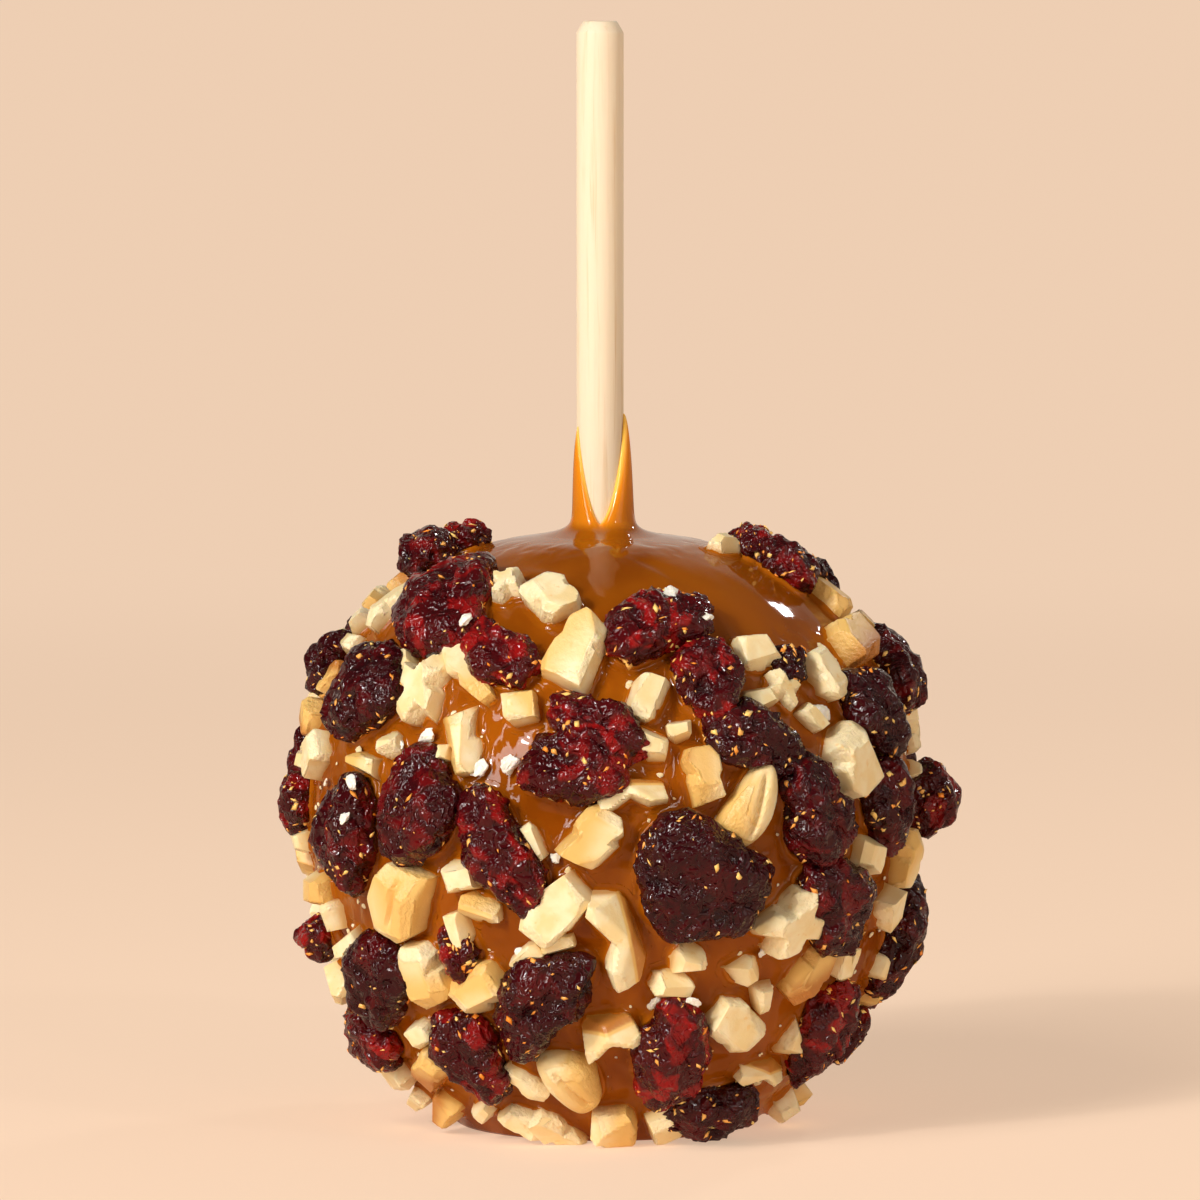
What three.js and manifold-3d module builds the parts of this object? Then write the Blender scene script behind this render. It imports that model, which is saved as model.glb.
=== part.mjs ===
// A caramel apple on a round wooden stick, rolled in dried cranberries and chopped nuts.
// Millimetres, +Z up, the flat foot on z = 0 and the stick on the Z axis. Azimuth 0 looks out
// along -Y and grows towards +X. Latitude is measured from the middle of the apple.
import * as THREE from 'three';
import { ConvexGeometry } from 'three/addons/geometries/ConvexGeometry.js';
import { mergeVertices } from 'three/addons/utils/BufferGeometryUtils.js';
import Module from 'manifold-3d';

const wasm = await Module();
wasm.setup();

const FULL_TURN = 2 * Math.PI;
const QUARTER_TURN = Math.PI / 2;
const GAP = 0.3; // between pieces that touch

// The caramel-coated apple: a superellipse turned about the Z axis.
const MIDDLE_Z = 42; // height of the widest ring
const GIRTH_RADIUS = 40;
const CROWN_HEIGHT = 37.2; // from the widest ring to the top
const CROWN_POWER = 2.3; // above 2 gives a fuller shoulder
const BASE_DEPTH = 50; // how deep the lower half would run without the flat foot
const BASE_POWER = 1.85;
const LEAN = 0.03; // the side towards +X is this much fuller
const COLUMNS = 26;
const ROW_STEP = 12; // degrees of latitude
const LAST_ROW = 76; // the caramel turns up the stick above this latitude

// The stick, a quarter-inch dowel five inches long, and its hole.
const STICK_RADIUS = 3.175;
const STICK_LENGTH = 127;
const STICK_TOP = 147.3;
const STICK_CHAMFER = 0.9; // across the end
const STICK_CHAMFER_RISE = 1.5; // along the stick
const STICK_SIDES = 20;
const HOLE_RADIUS = STICK_RADIUS + GAP;

// Caramel drawn up the stick in a tongue on each side, with a notch at the front and the back.
const CROWN_Z = MIDDLE_Z + CROWN_HEIGHT;
const NOTCH_RISE = 1.3; // the front notch, above the crown
const BACK_RISE = 5.3;
const RIGHT_TONGUE = 15.7;
const LEFT_TONGUE = 14;
const TONGUE_POWER = 1.48;
const LIP_THICKNESS = 0.4;
// Rows of the collar: radius, and the rise it reaches where the caramel stands tall enough,
// or else the share of the collar's own rise.
const COLLAR_ROWS = [
  { radius: 6.7, rise: 0.15, share: 0.1 },
  { radius: 5.3, rise: 0.9, share: 0.45 },
  { radius: 4.6, rise: 2.2, share: 0.75 },
  { radius: 4.15, rise: 5, share: 0.9 },
  { radius: HOLE_RADIUS + LIP_THICKNESS, rise: Infinity, share: 1 },
];

// Dried cranberries on the side shown: azimuth, latitude, length, width, height, turn.
const CRANBERRIES = [
  // upper left
  [-86, 55, 10, 7, 5.5, -30],
  [-94, 62, 8, 6, 4, -10],
  [-43, 44, 16, 13.5, 5.5, -55],
  [-23, 34, 14, 6.5, 4.5, -38],
  [-80, 28, 8, 7, 4.5, 65],
  [-54, 25, 15, 10.5, 5.5, 60],
  // left
  [-88, 1, 9, 6, 4, 80],
  [-54, -1, 14.5, 10.5, 5.5, 90],
  [-35, 5, 14, 11.5, 5.5, 70],
  [-18, -2, 16.5, 8.5, 5.5, -61],
  [-86, -24, 9.5, 5, 4.5, 5],
  [-28, -22, 8, 4.5, 3.5, -75],
  // front
  [0, 20, 13.5, 7.5, 4.5, -36],
  [-5, 13, 12.5, 9, 5, -10],
  [13, 40, 14.5, 9, 5, 25],
  [22, 29, 10, 8.5, 5, 63],
  [29, 18, 14.5, 8, 4.5, -19],
  [42, 31, 5.5, 4.5, 3, 5],
  [41, 4, 14, 10, 5.5, -75],
  [18, -7, 19, 14, 6, -24],
  [47, -13, 14, 10.5, 5.5, -45],
  // upper right and right
  [81, 60.5, 7, 5, 4.5, 25],
  [76, 53, 9, 7.5, 5, 50],
  [88, 48, 8, 6, 4, 40],
  [86, 26, 12, 8, 5.5, 66],
  [61.5, 20, 14, 8, 5, -67],
  [61, 4, 11.5, 8.5, 5, -75],
  [88, 2, 9, 8, 7, 80],
  [80, -23, 15, 8, 5.5, 79],
  // round the base
  [-51.5, -28, 14, 11, 5.5, 60],
  [-68, -41.5, 11, 9, 5, -30],
  [-31, -42, 14.5, 9, 5, -85],
  [-12, -30, 16, 10, 5.5, 46],
  [16, -41, 16.5, 9, 5.5, -80],
  [33, -55, 12, 9, 4.5, -10],
  [56, -39, 15, 9, 5, -80],
  [84, -43, 8, 5.5, 3.5, -60],
];
// On the far side they are spread evenly by the golden angle.
const FAR_CRANBERRIES = 21;
const FAR_CRANBERRY_SPOTS = 50; // over the whole apple, of which only the far ones are taken
const FAR_CRANBERRY_LENGTH = { smallest: 10, largest: 16 };
const FAR_CRANBERRY_SLIMNESS = { smallest: 0.58, largest: 0.75 }; // width over length
const FAR_CRANBERRY_HEIGHT = { smallest: 4.2, largest: 5.6 };
const FAR_CRANBERRY_ROOM = 0.4; // the share of two lengths between their middles
const FAR_AZIMUTH = 94; // degrees from the front at which the far side begins
const LOWEST_TOPPING = -50; // latitude on the far side
const HIGHEST_TOPPING = 50;
const CRANBERRY_SIDES = 9;
const CRANBERRY_RINGS = 5;
const CRANBERRY_LOBES = [
  { count: 2, depth: 0.08 },
  { count: 3, depth: 0.09 },
  { count: 5, depth: 0.05 },
];
const CRANBERRY_FOLD = 0.3; // depth of the crease along the top, as a share of the height
const CRANBERRY_FOLD_WIDTH = 0.3; // as a share of half the width
const CRANBERRY_FOLD_SHIFT = 0.3; // how far it may lie off the middle, as the same share
const CRANBERRY_BRIM = 0.3; // height of the widest outline, as a share of the height

// Chopped nuts on the side shown: azimuth, latitude, length, width, turn.
const NUTS = [
  // upper left
  [-67, 42, 7.5, 3.6, 80], [-80, 38, 3.8, 3.2, -20], [-75, 33, 3.4, 2.6, 0],
  [-74, 26, 5.5, 3.2, 35], [-80, 18, 4.4, 4.4, 60], [-70, 12.5, 5, 5, -60],
  [-90, 9, 3.2, 2.6, 0], [-51, 12, 5, 2.6, 0], [-44, 16, 3.4, 3, 15],
  [-46, 31.5, 3.2, 2.6, -45], [-38, 26, 9, 6, -80], [-28.5, 30, 11, 3.4, -42],
  [-27.5, 50, 5, 4.2, -60], [-12.5, 46.5, 6.8, 6, -50],
  [-15.5, 24, 4.5, 4.3, 3], [-27, 17, 8.3, 3.6, -75], [-32.5, 15, 4.5, 2.6, 5],
  // front
  [-5, 34.5, 9.6, 6.4, 60], [9, 26, 6.2, 4.1, 58], [8.5, 17.5, 5.6, 3.7, -15],
  [5.5, 8.5, 9, 4.4, 5], [19, 12, 7.2, 4.8, -80],
  [28, 6, 12, 6.5, 66], [-1, 1, 7.6, 6, 55], [-12, 0, 5, 2, -60],
  [-8, -12.5, 9.5, 6, 45], [3, -18.5, 12.5, 5.8, -75],
  // upper right
  [67, 64, 4.5, 3, -10], [34.5, 34, 5.2, 4.6, 8], [38, 26.5, 5.3, 3.8, -35],
  [51, 28.5, 6.8, 4.6, -70], [68, 34, 8.5, 6.5, 10], [80, 43.5, 6.5, 3.8, 80],
  [92, 36, 5, 3.5, 0],
  // right
  [51, 12.5, 8.6, 7.6, -65], [47.5, -1.5, 4.6, 2.5, 35], [88, 17.5, 5, 3.2, -35],
  [88, 12.5, 4.5, 2.5, -10], [87, 6, 5, 2.6, -30], [56, -5, 5.6, 4.4, -20],
  [72.5, -7.5, 8, 5, 80], [68.5, -17, 5.6, 3.8, -50], [87, -0.5, 6, 2.5, 85],
  [37, -16, 9.6, 7.4, 30], [45, -26.5, 8.6, 4.2, 45],
  [76, -29, 4.8, 3.4, -20], [58, -26.5, 4.8, 1.7, 80], [82, -35, 4, 3.4, -5],
  // left
  [-26.5, -7, 4.7, 3.9, 10], [-23, -13, 5.9, 3, -12],
  [-40, -12.5, 10.4, 7.3, 60], [-72, -13.5, 5.8, 4.2, 0],
  [-88, -6, 4, 3.2, 5], [-60, -23, 4.2, 3.6, 20], [-80, -32.5, 5.2, 4.2, -50],
  // round the base
  [-37, -26, 8.6, 6.4, -75], [-25, -28, 7.8, 5.5, 38], [-44.5, -39, 3.9, 3.4, 25],
  [-70, -50, 6.5, 4.5, 10], [-47, -46.5, 7.2, 4.6, 30], [-72, -56, 5, 3, 15],
  [-53.5, -56.5, 5.6, 4, 43], [-19, -48, 7, 2.7, -50], [-23, -57, 5.6, 4, -35],
  [-13.5, -59.5, 8.5, 3.6, -55], [-6.5, -47, 10.8, 7.2, -60],
  [-36.5, -56, 3.5, 2.5, 35], [17.5, -22.5, 4, 3.3, 5], [29.5, -25, 3.6, 3.3, -50],
  [14.5, -27.5, 5.4, 3.5, -15], [29, -35.5, 7.8, 6, -40], [48.5, -41, 4.1, 3.7, -30],
  [43, -47.5, 8.5, 3.3, -10], [74, -58, 5.8, 4.3, -25], [82, -56, 4, 3.4, -15],
  [19.5, -58, 5.6, 4.2, -60], [4.5, -58, 7, 5.8, -80], [2.5, -37.5, 7.2, 6, 20],
];
const FAR_NUT_SPOTS = 420; // tried over the whole apple, the largest pieces first
const FAR_NUT_LENGTH = { smallest: 4, largest: 11 };
const FAR_NUT_SLIMNESS = { smallest: 0.5, largest: 0.8 };
const FAR_NUT_ROOM = 0.35; // the share of two nuts' lengths between their middles
const FAR_NUT_ROOM_TO_FRUIT = 0.46; // and of a nut's and a cranberry's
const NUT_STANDING = { least: 1.3, perWidth: 0.4, most: 4.4 }; // height above the caramel
const NUT_ROOT = 1.6; // depth in the caramel
const NUT_TILT = 0.22; // largest lean of a face, as a slope
const SMALL_NUT = 6.5; // pieces shorter than this taper upwards and keep their corners
const SMALL_NUT_TAPER = 0.25; // as a slope
const NUT_CORNER = 0.72; // where the corner cuts pass, as a share of the way to the corner

// Small lengths, in millimetres, and a determinant, that a computer's rounding calls for.
const SAME_VERTEX = 1e-3;
const SAME_CORNER = 0.05;
const NEARLY_PARALLEL = 0.05;

const NEAR = 0.75; // toppings closer than this share of their two lengths may touch
const ROOM = 200; // a cube above the floor that holds the whole apple

// ------------------------------------------------------------------ general helpers

const radians = THREE.MathUtils.degToRad;

/** What a seeded number is drawn for, so that no two draws of a piece are the same. */
const DRAW = {
  tilts: 0, brokenSide: 11, length: 20, slimness: 21, height: 22, turn: 23, order: 30,
  creaseSide: 40, lobes: 50,
};

/** A number from 0 to 1 that depends only on a piece's own number and on what it is for. */
function chance(piece, purpose) {
  const wave = Math.sin(piece * 12.9898 + purpose * 78.233) * 43758.5453;
  return wave - Math.floor(wave);
}

/** A size between two limits, drawn for a piece. */
function drawn(limits, piece, purpose) {
  return THREE.MathUtils.lerp(limits.smallest, limits.largest, chance(piece, purpose));
}

/** A closed geometry as a solid for joining and cutting. */
function toSolid(geometry) {
  const bare = geometry.clone();
  bare.deleteAttribute('normal');
  bare.deleteAttribute('uv');
  const merged = mergeVertices(bare, SAME_VERTEX);
  const index = merged.index.array;
  const triangles = [];
  for (let i = 0; i < index.length; i += 3) {
    const [a, b, c] = [index[i], index[i + 1], index[i + 2]];
    if (a !== b && b !== c && c !== a) triangles.push(a, b, c);
  }
  const vertices = new Float32Array(merged.attributes.position.array);
  const mesh = { numProp: 3, vertProperties: vertices, triVerts: new Uint32Array(triangles) };
  return new wasm.Manifold(new wasm.Mesh(mesh));
}

/** The largest body of a solid, without the scraps and sealed hollows that a cut can leave. */
function largestBody(solid) {
  const bodies = solid.decompose();
  return bodies.reduce((best, body) => (body.volume() > best.volume() ? body : best));
}

/** A solid as a flat-shaded geometry. */
function toGeometry(solid) {
  const mesh = solid.getMesh();
  const geometry = new THREE.BufferGeometry();
  geometry.setAttribute('position', new THREE.BufferAttribute(mesh.vertProperties, 3));
  geometry.setIndex(new THREE.BufferAttribute(mesh.triVerts, 1));
  const flat = geometry.toNonIndexed();
  flat.computeVertexNormals();
  return flat;
}

/** Moves every vertex of a geometry by a function of its place. */
function reshape(geometry, move) {
  const position = geometry.attributes.position;
  const point = new THREE.Vector3();
  for (let i = 0; i < position.count; i += 1) {
    point.fromBufferAttribute(position, i);
    move(point);
    position.setXYZ(i, point.x, point.y, point.z);
  }
  return geometry;
}

// ------------------------------------------------------------------ the apple's surface

/** Distance from the middle of the apple to its surface at a latitude in radians. */
function bodyRadius(latitude) {
  const upper = latitude >= 0;
  const depth = upper ? CROWN_HEIGHT : BASE_DEPTH;
  const power = upper ? CROWN_POWER : BASE_POWER;
  const across = (Math.cos(latitude) / GIRTH_RADIUS) ** power;
  const upwards = (Math.abs(Math.sin(latitude)) / depth) ** power;
  return (across + upwards) ** (-1 / power);
}

/** How much further from the axis the apple stands at an azimuth in radians. */
function lean(azimuth) {
  return 1 + LEAN * Math.sin(azimuth);
}

/** A point on the caramel at an azimuth and latitude in radians. */
function surfacePoint(azimuth, latitude) {
  const radius = bodyRadius(latitude);
  const fromAxis = radius * Math.cos(latitude) * lean(azimuth);
  const z = MIDDLE_Z + radius * Math.sin(latitude);
  return new THREE.Vector3(fromAxis * Math.sin(azimuth), -fromAxis * Math.cos(azimuth), z);
}

/** The directions east, north and outwards at a place on the caramel. */
function surfaceFrame(azimuth, latitude) {
  const step = 0.01;
  const east = new THREE.Vector3(Math.cos(azimuth), Math.sin(azimuth), 0);
  const north = surfacePoint(azimuth, latitude + step)
    .sub(surfacePoint(azimuth, latitude - step))
    .normalize();
  const outwards = new THREE.Vector3().crossVectors(east, north).normalize();
  return { east, north, outwards };
}

/** How far the caramel stands up the stick above the crown at an azimuth in radians. */
function collarRise(azimuth) {
  const tongue = Math.sin(azimuth) >= 0 ? RIGHT_TONGUE - NOTCH_RISE : LEFT_TONGUE - NOTCH_RISE;
  const fromFront = Math.abs(Math.atan2(Math.sin(azimuth), Math.cos(azimuth))) / QUARTER_TURN;
  if (fromFront <= 1) return NOTCH_RISE + tongue * fromFront ** TONGUE_POWER;
  const back = BACK_RISE - NOTCH_RISE;
  return NOTCH_RISE + back + (tongue - back) * (2 - fromFront) ** TONGUE_POWER;
}

// ------------------------------------------------------------------ sub-parts

/** The dowel, with both ends chamfered. */
function stickGeometry() {
  const bottom = STICK_TOP - STICK_LENGTH;
  const end = STICK_RADIUS - STICK_CHAMFER;
  const profile = [
    new THREE.Vector2(0, bottom),
    new THREE.Vector2(end, bottom),
    new THREE.Vector2(STICK_RADIUS, bottom + STICK_CHAMFER_RISE),
    new THREE.Vector2(STICK_RADIUS, STICK_TOP - STICK_CHAMFER_RISE),
    new THREE.Vector2(end, STICK_TOP),
    new THREE.Vector2(0, STICK_TOP),
  ];
  return new THREE.LatheGeometry(profile, STICK_SIDES).rotateX(QUARTER_TURN);
}

/** The bare coated apple: foot, body, collar and the stick's hole, turned as one profile. */
function coatedAppleGeometry() {
  const profile = [new THREE.Vector2(0, 0)];
  const footRadius = GIRTH_RADIUS * (1 - (MIDDLE_Z / BASE_DEPTH) ** BASE_POWER) ** (1 / BASE_POWER);
  const footLatitude = -Math.atan2(MIDDLE_Z, footRadius);
  const rows = [footLatitude];
  for (let degrees = LAST_ROW; radians(degrees) > footLatitude; degrees -= ROW_STEP) {
    rows.splice(1, 0, radians(degrees));
  }
  for (const latitude of rows) {
    const radius = bodyRadius(latitude);
    const z = Math.max(MIDDLE_Z + radius * Math.sin(latitude), 0);
    profile.push(new THREE.Vector2(radius * Math.cos(latitude), z));
  }
  const holeBottom = STICK_TOP - STICK_LENGTH - GAP;
  // The collar's rows stand above the crown by their own number, until each azimuth is fitted.
  COLLAR_ROWS.forEach((row, number) => {
    profile.push(new THREE.Vector2(row.radius, CROWN_Z + 1 + number));
  });
  profile.push(new THREE.Vector2(HOLE_RADIUS, CROWN_Z + COLLAR_ROWS.length));
  profile.push(new THREE.Vector2(HOLE_RADIUS, holeBottom));
  profile.push(new THREE.Vector2(0, holeBottom));
  const geometry = new THREE.LatheGeometry(profile, COLUMNS).rotateX(QUARTER_TURN);
  return reshape(geometry, (point) => {
    const azimuth = Math.atan2(point.x, -point.y);
    const rowNumber = Math.round(point.z - CROWN_Z);
    if (rowNumber >= 1) {
      const row = COLLAR_ROWS[rowNumber - 1];
      const rise = collarRise(azimuth);
      point.z = CROWN_Z + Math.min(row.rise, rise * row.share);
    } else if (Math.hypot(point.x, point.y) > HOLE_RADIUS + GAP) {
      point.x *= lean(azimuth);
      point.y *= lean(azimuth);
    }
  });
}

/** Planes of a roughly broken piece in its own frame: a block, tapered if small. */
function nutPlanes(nut, grow) {
  const { number, length, width } = nut;
  const top = Math.min(NUT_STANDING.least + NUT_STANDING.perWidth * width, NUT_STANDING.most);
  const half = new THREE.Vector3(length / 2, width / 2, (top + NUT_ROOT) / 2);
  const middle = (top - NUT_ROOT) / 2;
  const small = length < SMALL_NUT;
  const tilt = (edge) => NUT_TILT * (2 * chance(number, DRAW.tilts + edge) - 1);
  const taper = small ? SMALL_NUT_TAPER : 0;
  const directions = [
    [1, tilt(1), tilt(2)], [-1, tilt(3), tilt(4)],
    [tilt(5), 1, tilt(6) + taper], [tilt(7), -1, tilt(8) + taper],
    [0, 0, -1], [tilt(9), tilt(10), 1],
  ];
  const planes = directions.map(([x, y, z]) => {
    const normal = new THREE.Vector3(x, y, z).normalize();
    const reach = Math.abs(x) === 1 ? half.x : Math.abs(y) === 1 ? half.y : half.z;
    return { normal, distance: reach + grow };
  });
  const side = chance(number, DRAW.brokenSide) < 0.5 ? 1 : -1;
  const cuts = small || grow > 0 ? [] : [[side, 1, 1], [-side, -1, 1]];
  for (const [x, y, z] of cuts) {
    const corner = new THREE.Vector3(x * half.x, y * half.y, z * half.z);
    const normal = new THREE.Vector3(x / half.x, y / half.y, z / half.z).normalize();
    planes.push({ normal, distance: NUT_CORNER * corner.dot(normal) + grow });
  }
  return { planes, middle };
}

/** The corners where three of a block's planes meet inside all the others. */
function blockCorners(planes) {
  const corners = [];
  for (let i = 0; i < planes.length; i += 1) {
    for (let j = i + 1; j < planes.length; j += 1) {
      for (let k = j + 1; k < planes.length; k += 1) {
        const [a, b, c] = [planes[i], planes[j], planes[k]];
        const system = new THREE.Matrix3().set(
          a.normal.x, a.normal.y, a.normal.z,
          b.normal.x, b.normal.y, b.normal.z,
          c.normal.x, c.normal.y, c.normal.z,
        );
        if (Math.abs(system.determinant()) < NEARLY_PARALLEL) continue;
        const corner = new THREE.Vector3(a.distance, b.distance, c.distance);
        corner.applyMatrix3(system.invert());
        const inside = planes.every(({ normal, distance }) => {
          return normal.dot(corner) < distance + SAME_VERTEX;
        });
        if (inside && corners.every((other) => other.distanceTo(corner) > SAME_CORNER)) {
          corners.push(corner);
        }
      }
    }
  }
  return corners;
}

/** One piece of chopped nut where it sits in the caramel, larger by a margin all round. */
function nutSolid(nut, grow = 0) {
  const { planes, middle } = nutPlanes(nut, grow);
  const { east, north, outwards } = surfaceFrame(nut.azimuth, nut.latitude);
  const along = east.clone().multiplyScalar(Math.cos(nut.turn));
  along.addScaledVector(north, Math.sin(nut.turn));
  const across = new THREE.Vector3().crossVectors(outwards, along);
  const place = new THREE.Matrix4().makeBasis(along, across, outwards);
  const origin = surfacePoint(nut.azimuth, nut.latitude).addScaledVector(outwards, middle);
  place.setPosition(origin);
  return toSolid(new ConvexGeometry(blockCorners(planes)).applyMatrix4(place));
}

/** One dried cranberry draped on the caramel: lobed outline, flat below, creased on top. */
function cranberrySolid(berry, grow = 0) {
  const { number, azimuth, latitude, length, width, height, turn } = berry;
  const toAxis = Math.hypot(surfacePoint(azimuth, latitude).x, surfacePoint(azimuth, latitude).y);
  const toMiddle = bodyRadius(latitude);
  const creaseSide = CRANBERRY_FOLD_SHIFT * (2 * chance(number, DRAW.creaseSide) - 1);
  const geometry = new THREE.SphereGeometry(1, CRANBERRY_SIDES, CRANBERRY_RINGS);
  geometry.rotateX(QUARTER_TURN);
  reshape(geometry, (point) => {
    const around = Math.atan2(point.y, point.x);
    let outline = 1;
    CRANBERRY_LOBES.forEach(({ count, depth }, lobe) => {
      outline += depth * Math.cos(count * around + FULL_TURN * chance(number, DRAW.lobes + lobe));
    });
    const along = point.x * outline * (length / 2 + grow);
    const across = point.y * outline * (width / 2 + grow);
    const crease = Math.exp(-(((point.y - creaseSide) / CRANBERRY_FOLD_WIDTH) ** 2));
    const rise = point.z < 0
      ? CRANBERRY_BRIM * (1 + point.z)
      : CRANBERRY_BRIM + (1 - CRANBERRY_BRIM) * point.z * (1 - CRANBERRY_FOLD * crease);
    const towardsEast = along * Math.cos(turn) - across * Math.sin(turn);
    const towardsNorth = along * Math.sin(turn) + across * Math.cos(turn);
    const placeAzimuth = azimuth + towardsEast / toAxis;
    const placeLatitude = latitude + towardsNorth / toMiddle;
    const { outwards } = surfaceFrame(placeAzimuth, placeLatitude);
    point.copy(surfacePoint(placeAzimuth, placeLatitude));
    point.addScaledVector(outwards, GAP - grow + rise * (height + 2 * grow));
    point.z = Math.max(point.z, GAP);
  });
  return toSolid(geometry);
}

// ------------------------------------------------------------------ where the toppings go

/** Spots spread evenly over the apple by the golden angle, kept where they are on the far side. */
function farSpots(count) {
  const goldenAngle = Math.PI * (3 - Math.sqrt(5));
  const lowest = Math.sin(radians(LOWEST_TOPPING));
  const highest = Math.sin(radians(HIGHEST_TOPPING));
  const spots = [];
  for (let i = 0; i < count; i += 1) {
    const turned = (i * goldenAngle) % FULL_TURN;
    const azimuth = turned > Math.PI ? turned - FULL_TURN : turned;
    const latitude = Math.asin(lowest + ((highest - lowest) * (i + 0.5)) / count);
    if (Math.abs(azimuth) > radians(FAR_AZIMUTH)) spots.push({ number: i, azimuth, latitude });
  }
  return spots;
}

/** The distance between two toppings' places. */
function apart(a, b) {
  const placeA = surfacePoint(a.azimuth, a.latitude);
  return placeA.distanceTo(surfacePoint(b.azimuth, b.latitude));
}

/** All the cranberries, the shown ones first. */
function placedCranberries() {
  const shown = CRANBERRIES.map(([azimuth, latitude, length, width, height, turn], number) => ({
    number, azimuth: radians(azimuth), latitude: radians(latitude),
    length, width, height, turn: radians(turn),
  }));
  const far = farSpots(FAR_CRANBERRY_SPOTS).map((spot) => {
    const length = drawn(FAR_CRANBERRY_LENGTH, spot.number, DRAW.length);
    const width = length * drawn(FAR_CRANBERRY_SLIMNESS, spot.number, DRAW.slimness);
    const height = drawn(FAR_CRANBERRY_HEIGHT, spot.number, DRAW.height);
    return { ...spot, length, width, height, turn: Math.PI * chance(spot.number, DRAW.turn) };
  });
  const clear = far.filter((berry) => shown.every((other) => {
    return apart(berry, other) > FAR_CRANBERRY_ROOM * (berry.length + other.length);
  }));
  return [...shown, ...clear.slice(0, FAR_CRANBERRIES)];
}

/** All the chopped nuts, the shown ones first, and on the far side the largest first. */
function placedNuts(cranberries) {
  const nuts = NUTS.map(([azimuth, latitude, length, width, turn], number) => ({
    number, azimuth: radians(azimuth), latitude: radians(latitude),
    length, width, turn: radians(turn),
  }));
  const spots = farSpots(FAR_NUT_SPOTS);
  spots.sort((a, b) => chance(a.number, DRAW.order) - chance(b.number, DRAW.order));
  const { smallest, largest } = FAR_NUT_LENGTH;
  spots.forEach((spot, order) => {
    const length = THREE.MathUtils.lerp(largest, smallest, Math.sqrt(order / spots.length));
    const width = length * drawn(FAR_NUT_SLIMNESS, spot.number, DRAW.slimness);
    const turn = Math.PI * chance(spot.number, DRAW.turn);
    const nut = { ...spot, number: nuts.length, length, width, turn };
    const roomy = (room) => (other) => apart(nut, other) > room * (nut.length + other.length);
    const clearOfFruit = cranberries.every(roomy(FAR_NUT_ROOM_TO_FRUIT));
    if (clearOfFruit && nuts.every(roomy(FAR_NUT_ROOM))) nuts.push(nut);
  });
  return nuts;
}

// ------------------------------------------------------------------ the object

const cranberries = placedCranberries();
const nuts = placedNuts(cranberries);

const room = new THREE.BoxGeometry(ROOM, ROOM, ROOM).translate(0, 0, ROOM / 2);
const aboveFloor = toSolid(room);
let apple = toSolid(coatedAppleGeometry());
for (const nut of nuts) apple = apple.add(nutSolid(nut));
apple = largestBody(apple.intersect(aboveFloor));

/** A cranberry cut back where nuts and earlier cranberries already lie. */
function fittedCranberry(berry, order) {
  const near = (other) => apart(berry, other) < NEAR * (berry.length + other.length);
  let solid = cranberrySolid(berry);
  for (const nut of nuts.filter(near)) solid = solid.subtract(nutSolid(nut, GAP));
  for (const other of cranberries.slice(0, order).filter(near)) {
    solid = solid.subtract(cranberrySolid(other, GAP));
  }
  return largestBody(solid);
}

const wood = new THREE.MeshStandardMaterial({ color: 0xf3dcb2, roughness: 0.7, metalness: 0 });
const caramel = new THREE.MeshStandardMaterial({ color: 0x8a4a14, roughness: 0.22, metalness: 0 });
const fruit = new THREE.MeshStandardMaterial({ color: 0x5e1c1e, roughness: 0.3, metalness: 0 });

const group = new THREE.Group();

/** Adds a named sub-part to the object. */
function addPart(name, geometry, material) {
  const mesh = new THREE.Mesh(geometry, material);
  mesh.name = name;
  group.add(mesh);
}

addPart('stick', stickGeometry(), wood);
addPart('caramel_apple', toGeometry(apple), caramel);
cranberries.forEach((berry, order) => {
  const name = `cranberry_${String(order + 1).padStart(2, '0')}`;
  addPart(name, toGeometry(fittedCranberry(berry, order)), fruit);
});

export default group;
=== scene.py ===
"""Looks of a caramel apple rolled in dried cranberries and chopped nuts.

Lengths are millimetres until a mesh is made, +Z up, the foot on z = 0 and the stick on the Z
axis. Azimuth 0 looks out along -Y and grows towards +X. Latitude is measured from the middle.
"""

from __future__ import annotations

import logging
import math
from dataclasses import dataclass, field
from enum import Enum, IntEnum
from functools import cached_property

import bpy
import numpy as np
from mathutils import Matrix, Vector

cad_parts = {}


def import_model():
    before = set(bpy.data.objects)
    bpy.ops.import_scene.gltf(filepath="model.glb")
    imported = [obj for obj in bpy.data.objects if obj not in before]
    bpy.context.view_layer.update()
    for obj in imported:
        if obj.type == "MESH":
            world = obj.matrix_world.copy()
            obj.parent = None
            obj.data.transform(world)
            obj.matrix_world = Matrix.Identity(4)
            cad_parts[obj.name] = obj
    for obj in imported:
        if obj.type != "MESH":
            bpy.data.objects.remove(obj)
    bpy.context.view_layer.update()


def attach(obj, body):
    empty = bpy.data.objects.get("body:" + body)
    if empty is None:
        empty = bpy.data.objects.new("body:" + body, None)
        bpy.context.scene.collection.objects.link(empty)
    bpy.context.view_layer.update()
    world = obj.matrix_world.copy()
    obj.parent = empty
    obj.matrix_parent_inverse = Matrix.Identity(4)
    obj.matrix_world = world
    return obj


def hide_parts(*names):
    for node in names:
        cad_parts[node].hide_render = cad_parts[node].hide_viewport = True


Array = np.ndarray
Color = tuple[float, float, float]

log = logging.getLogger("caramel_apple")

MM = 0.001
# The lowest that a topping or a rim of caramel may hang above the ground.
LOWEST = 0.02
# The room under the stick in its hole.
STICK_CLEARANCE = 0.3
FULL_TURN = 2 * math.pi
BODY = "root"


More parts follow.
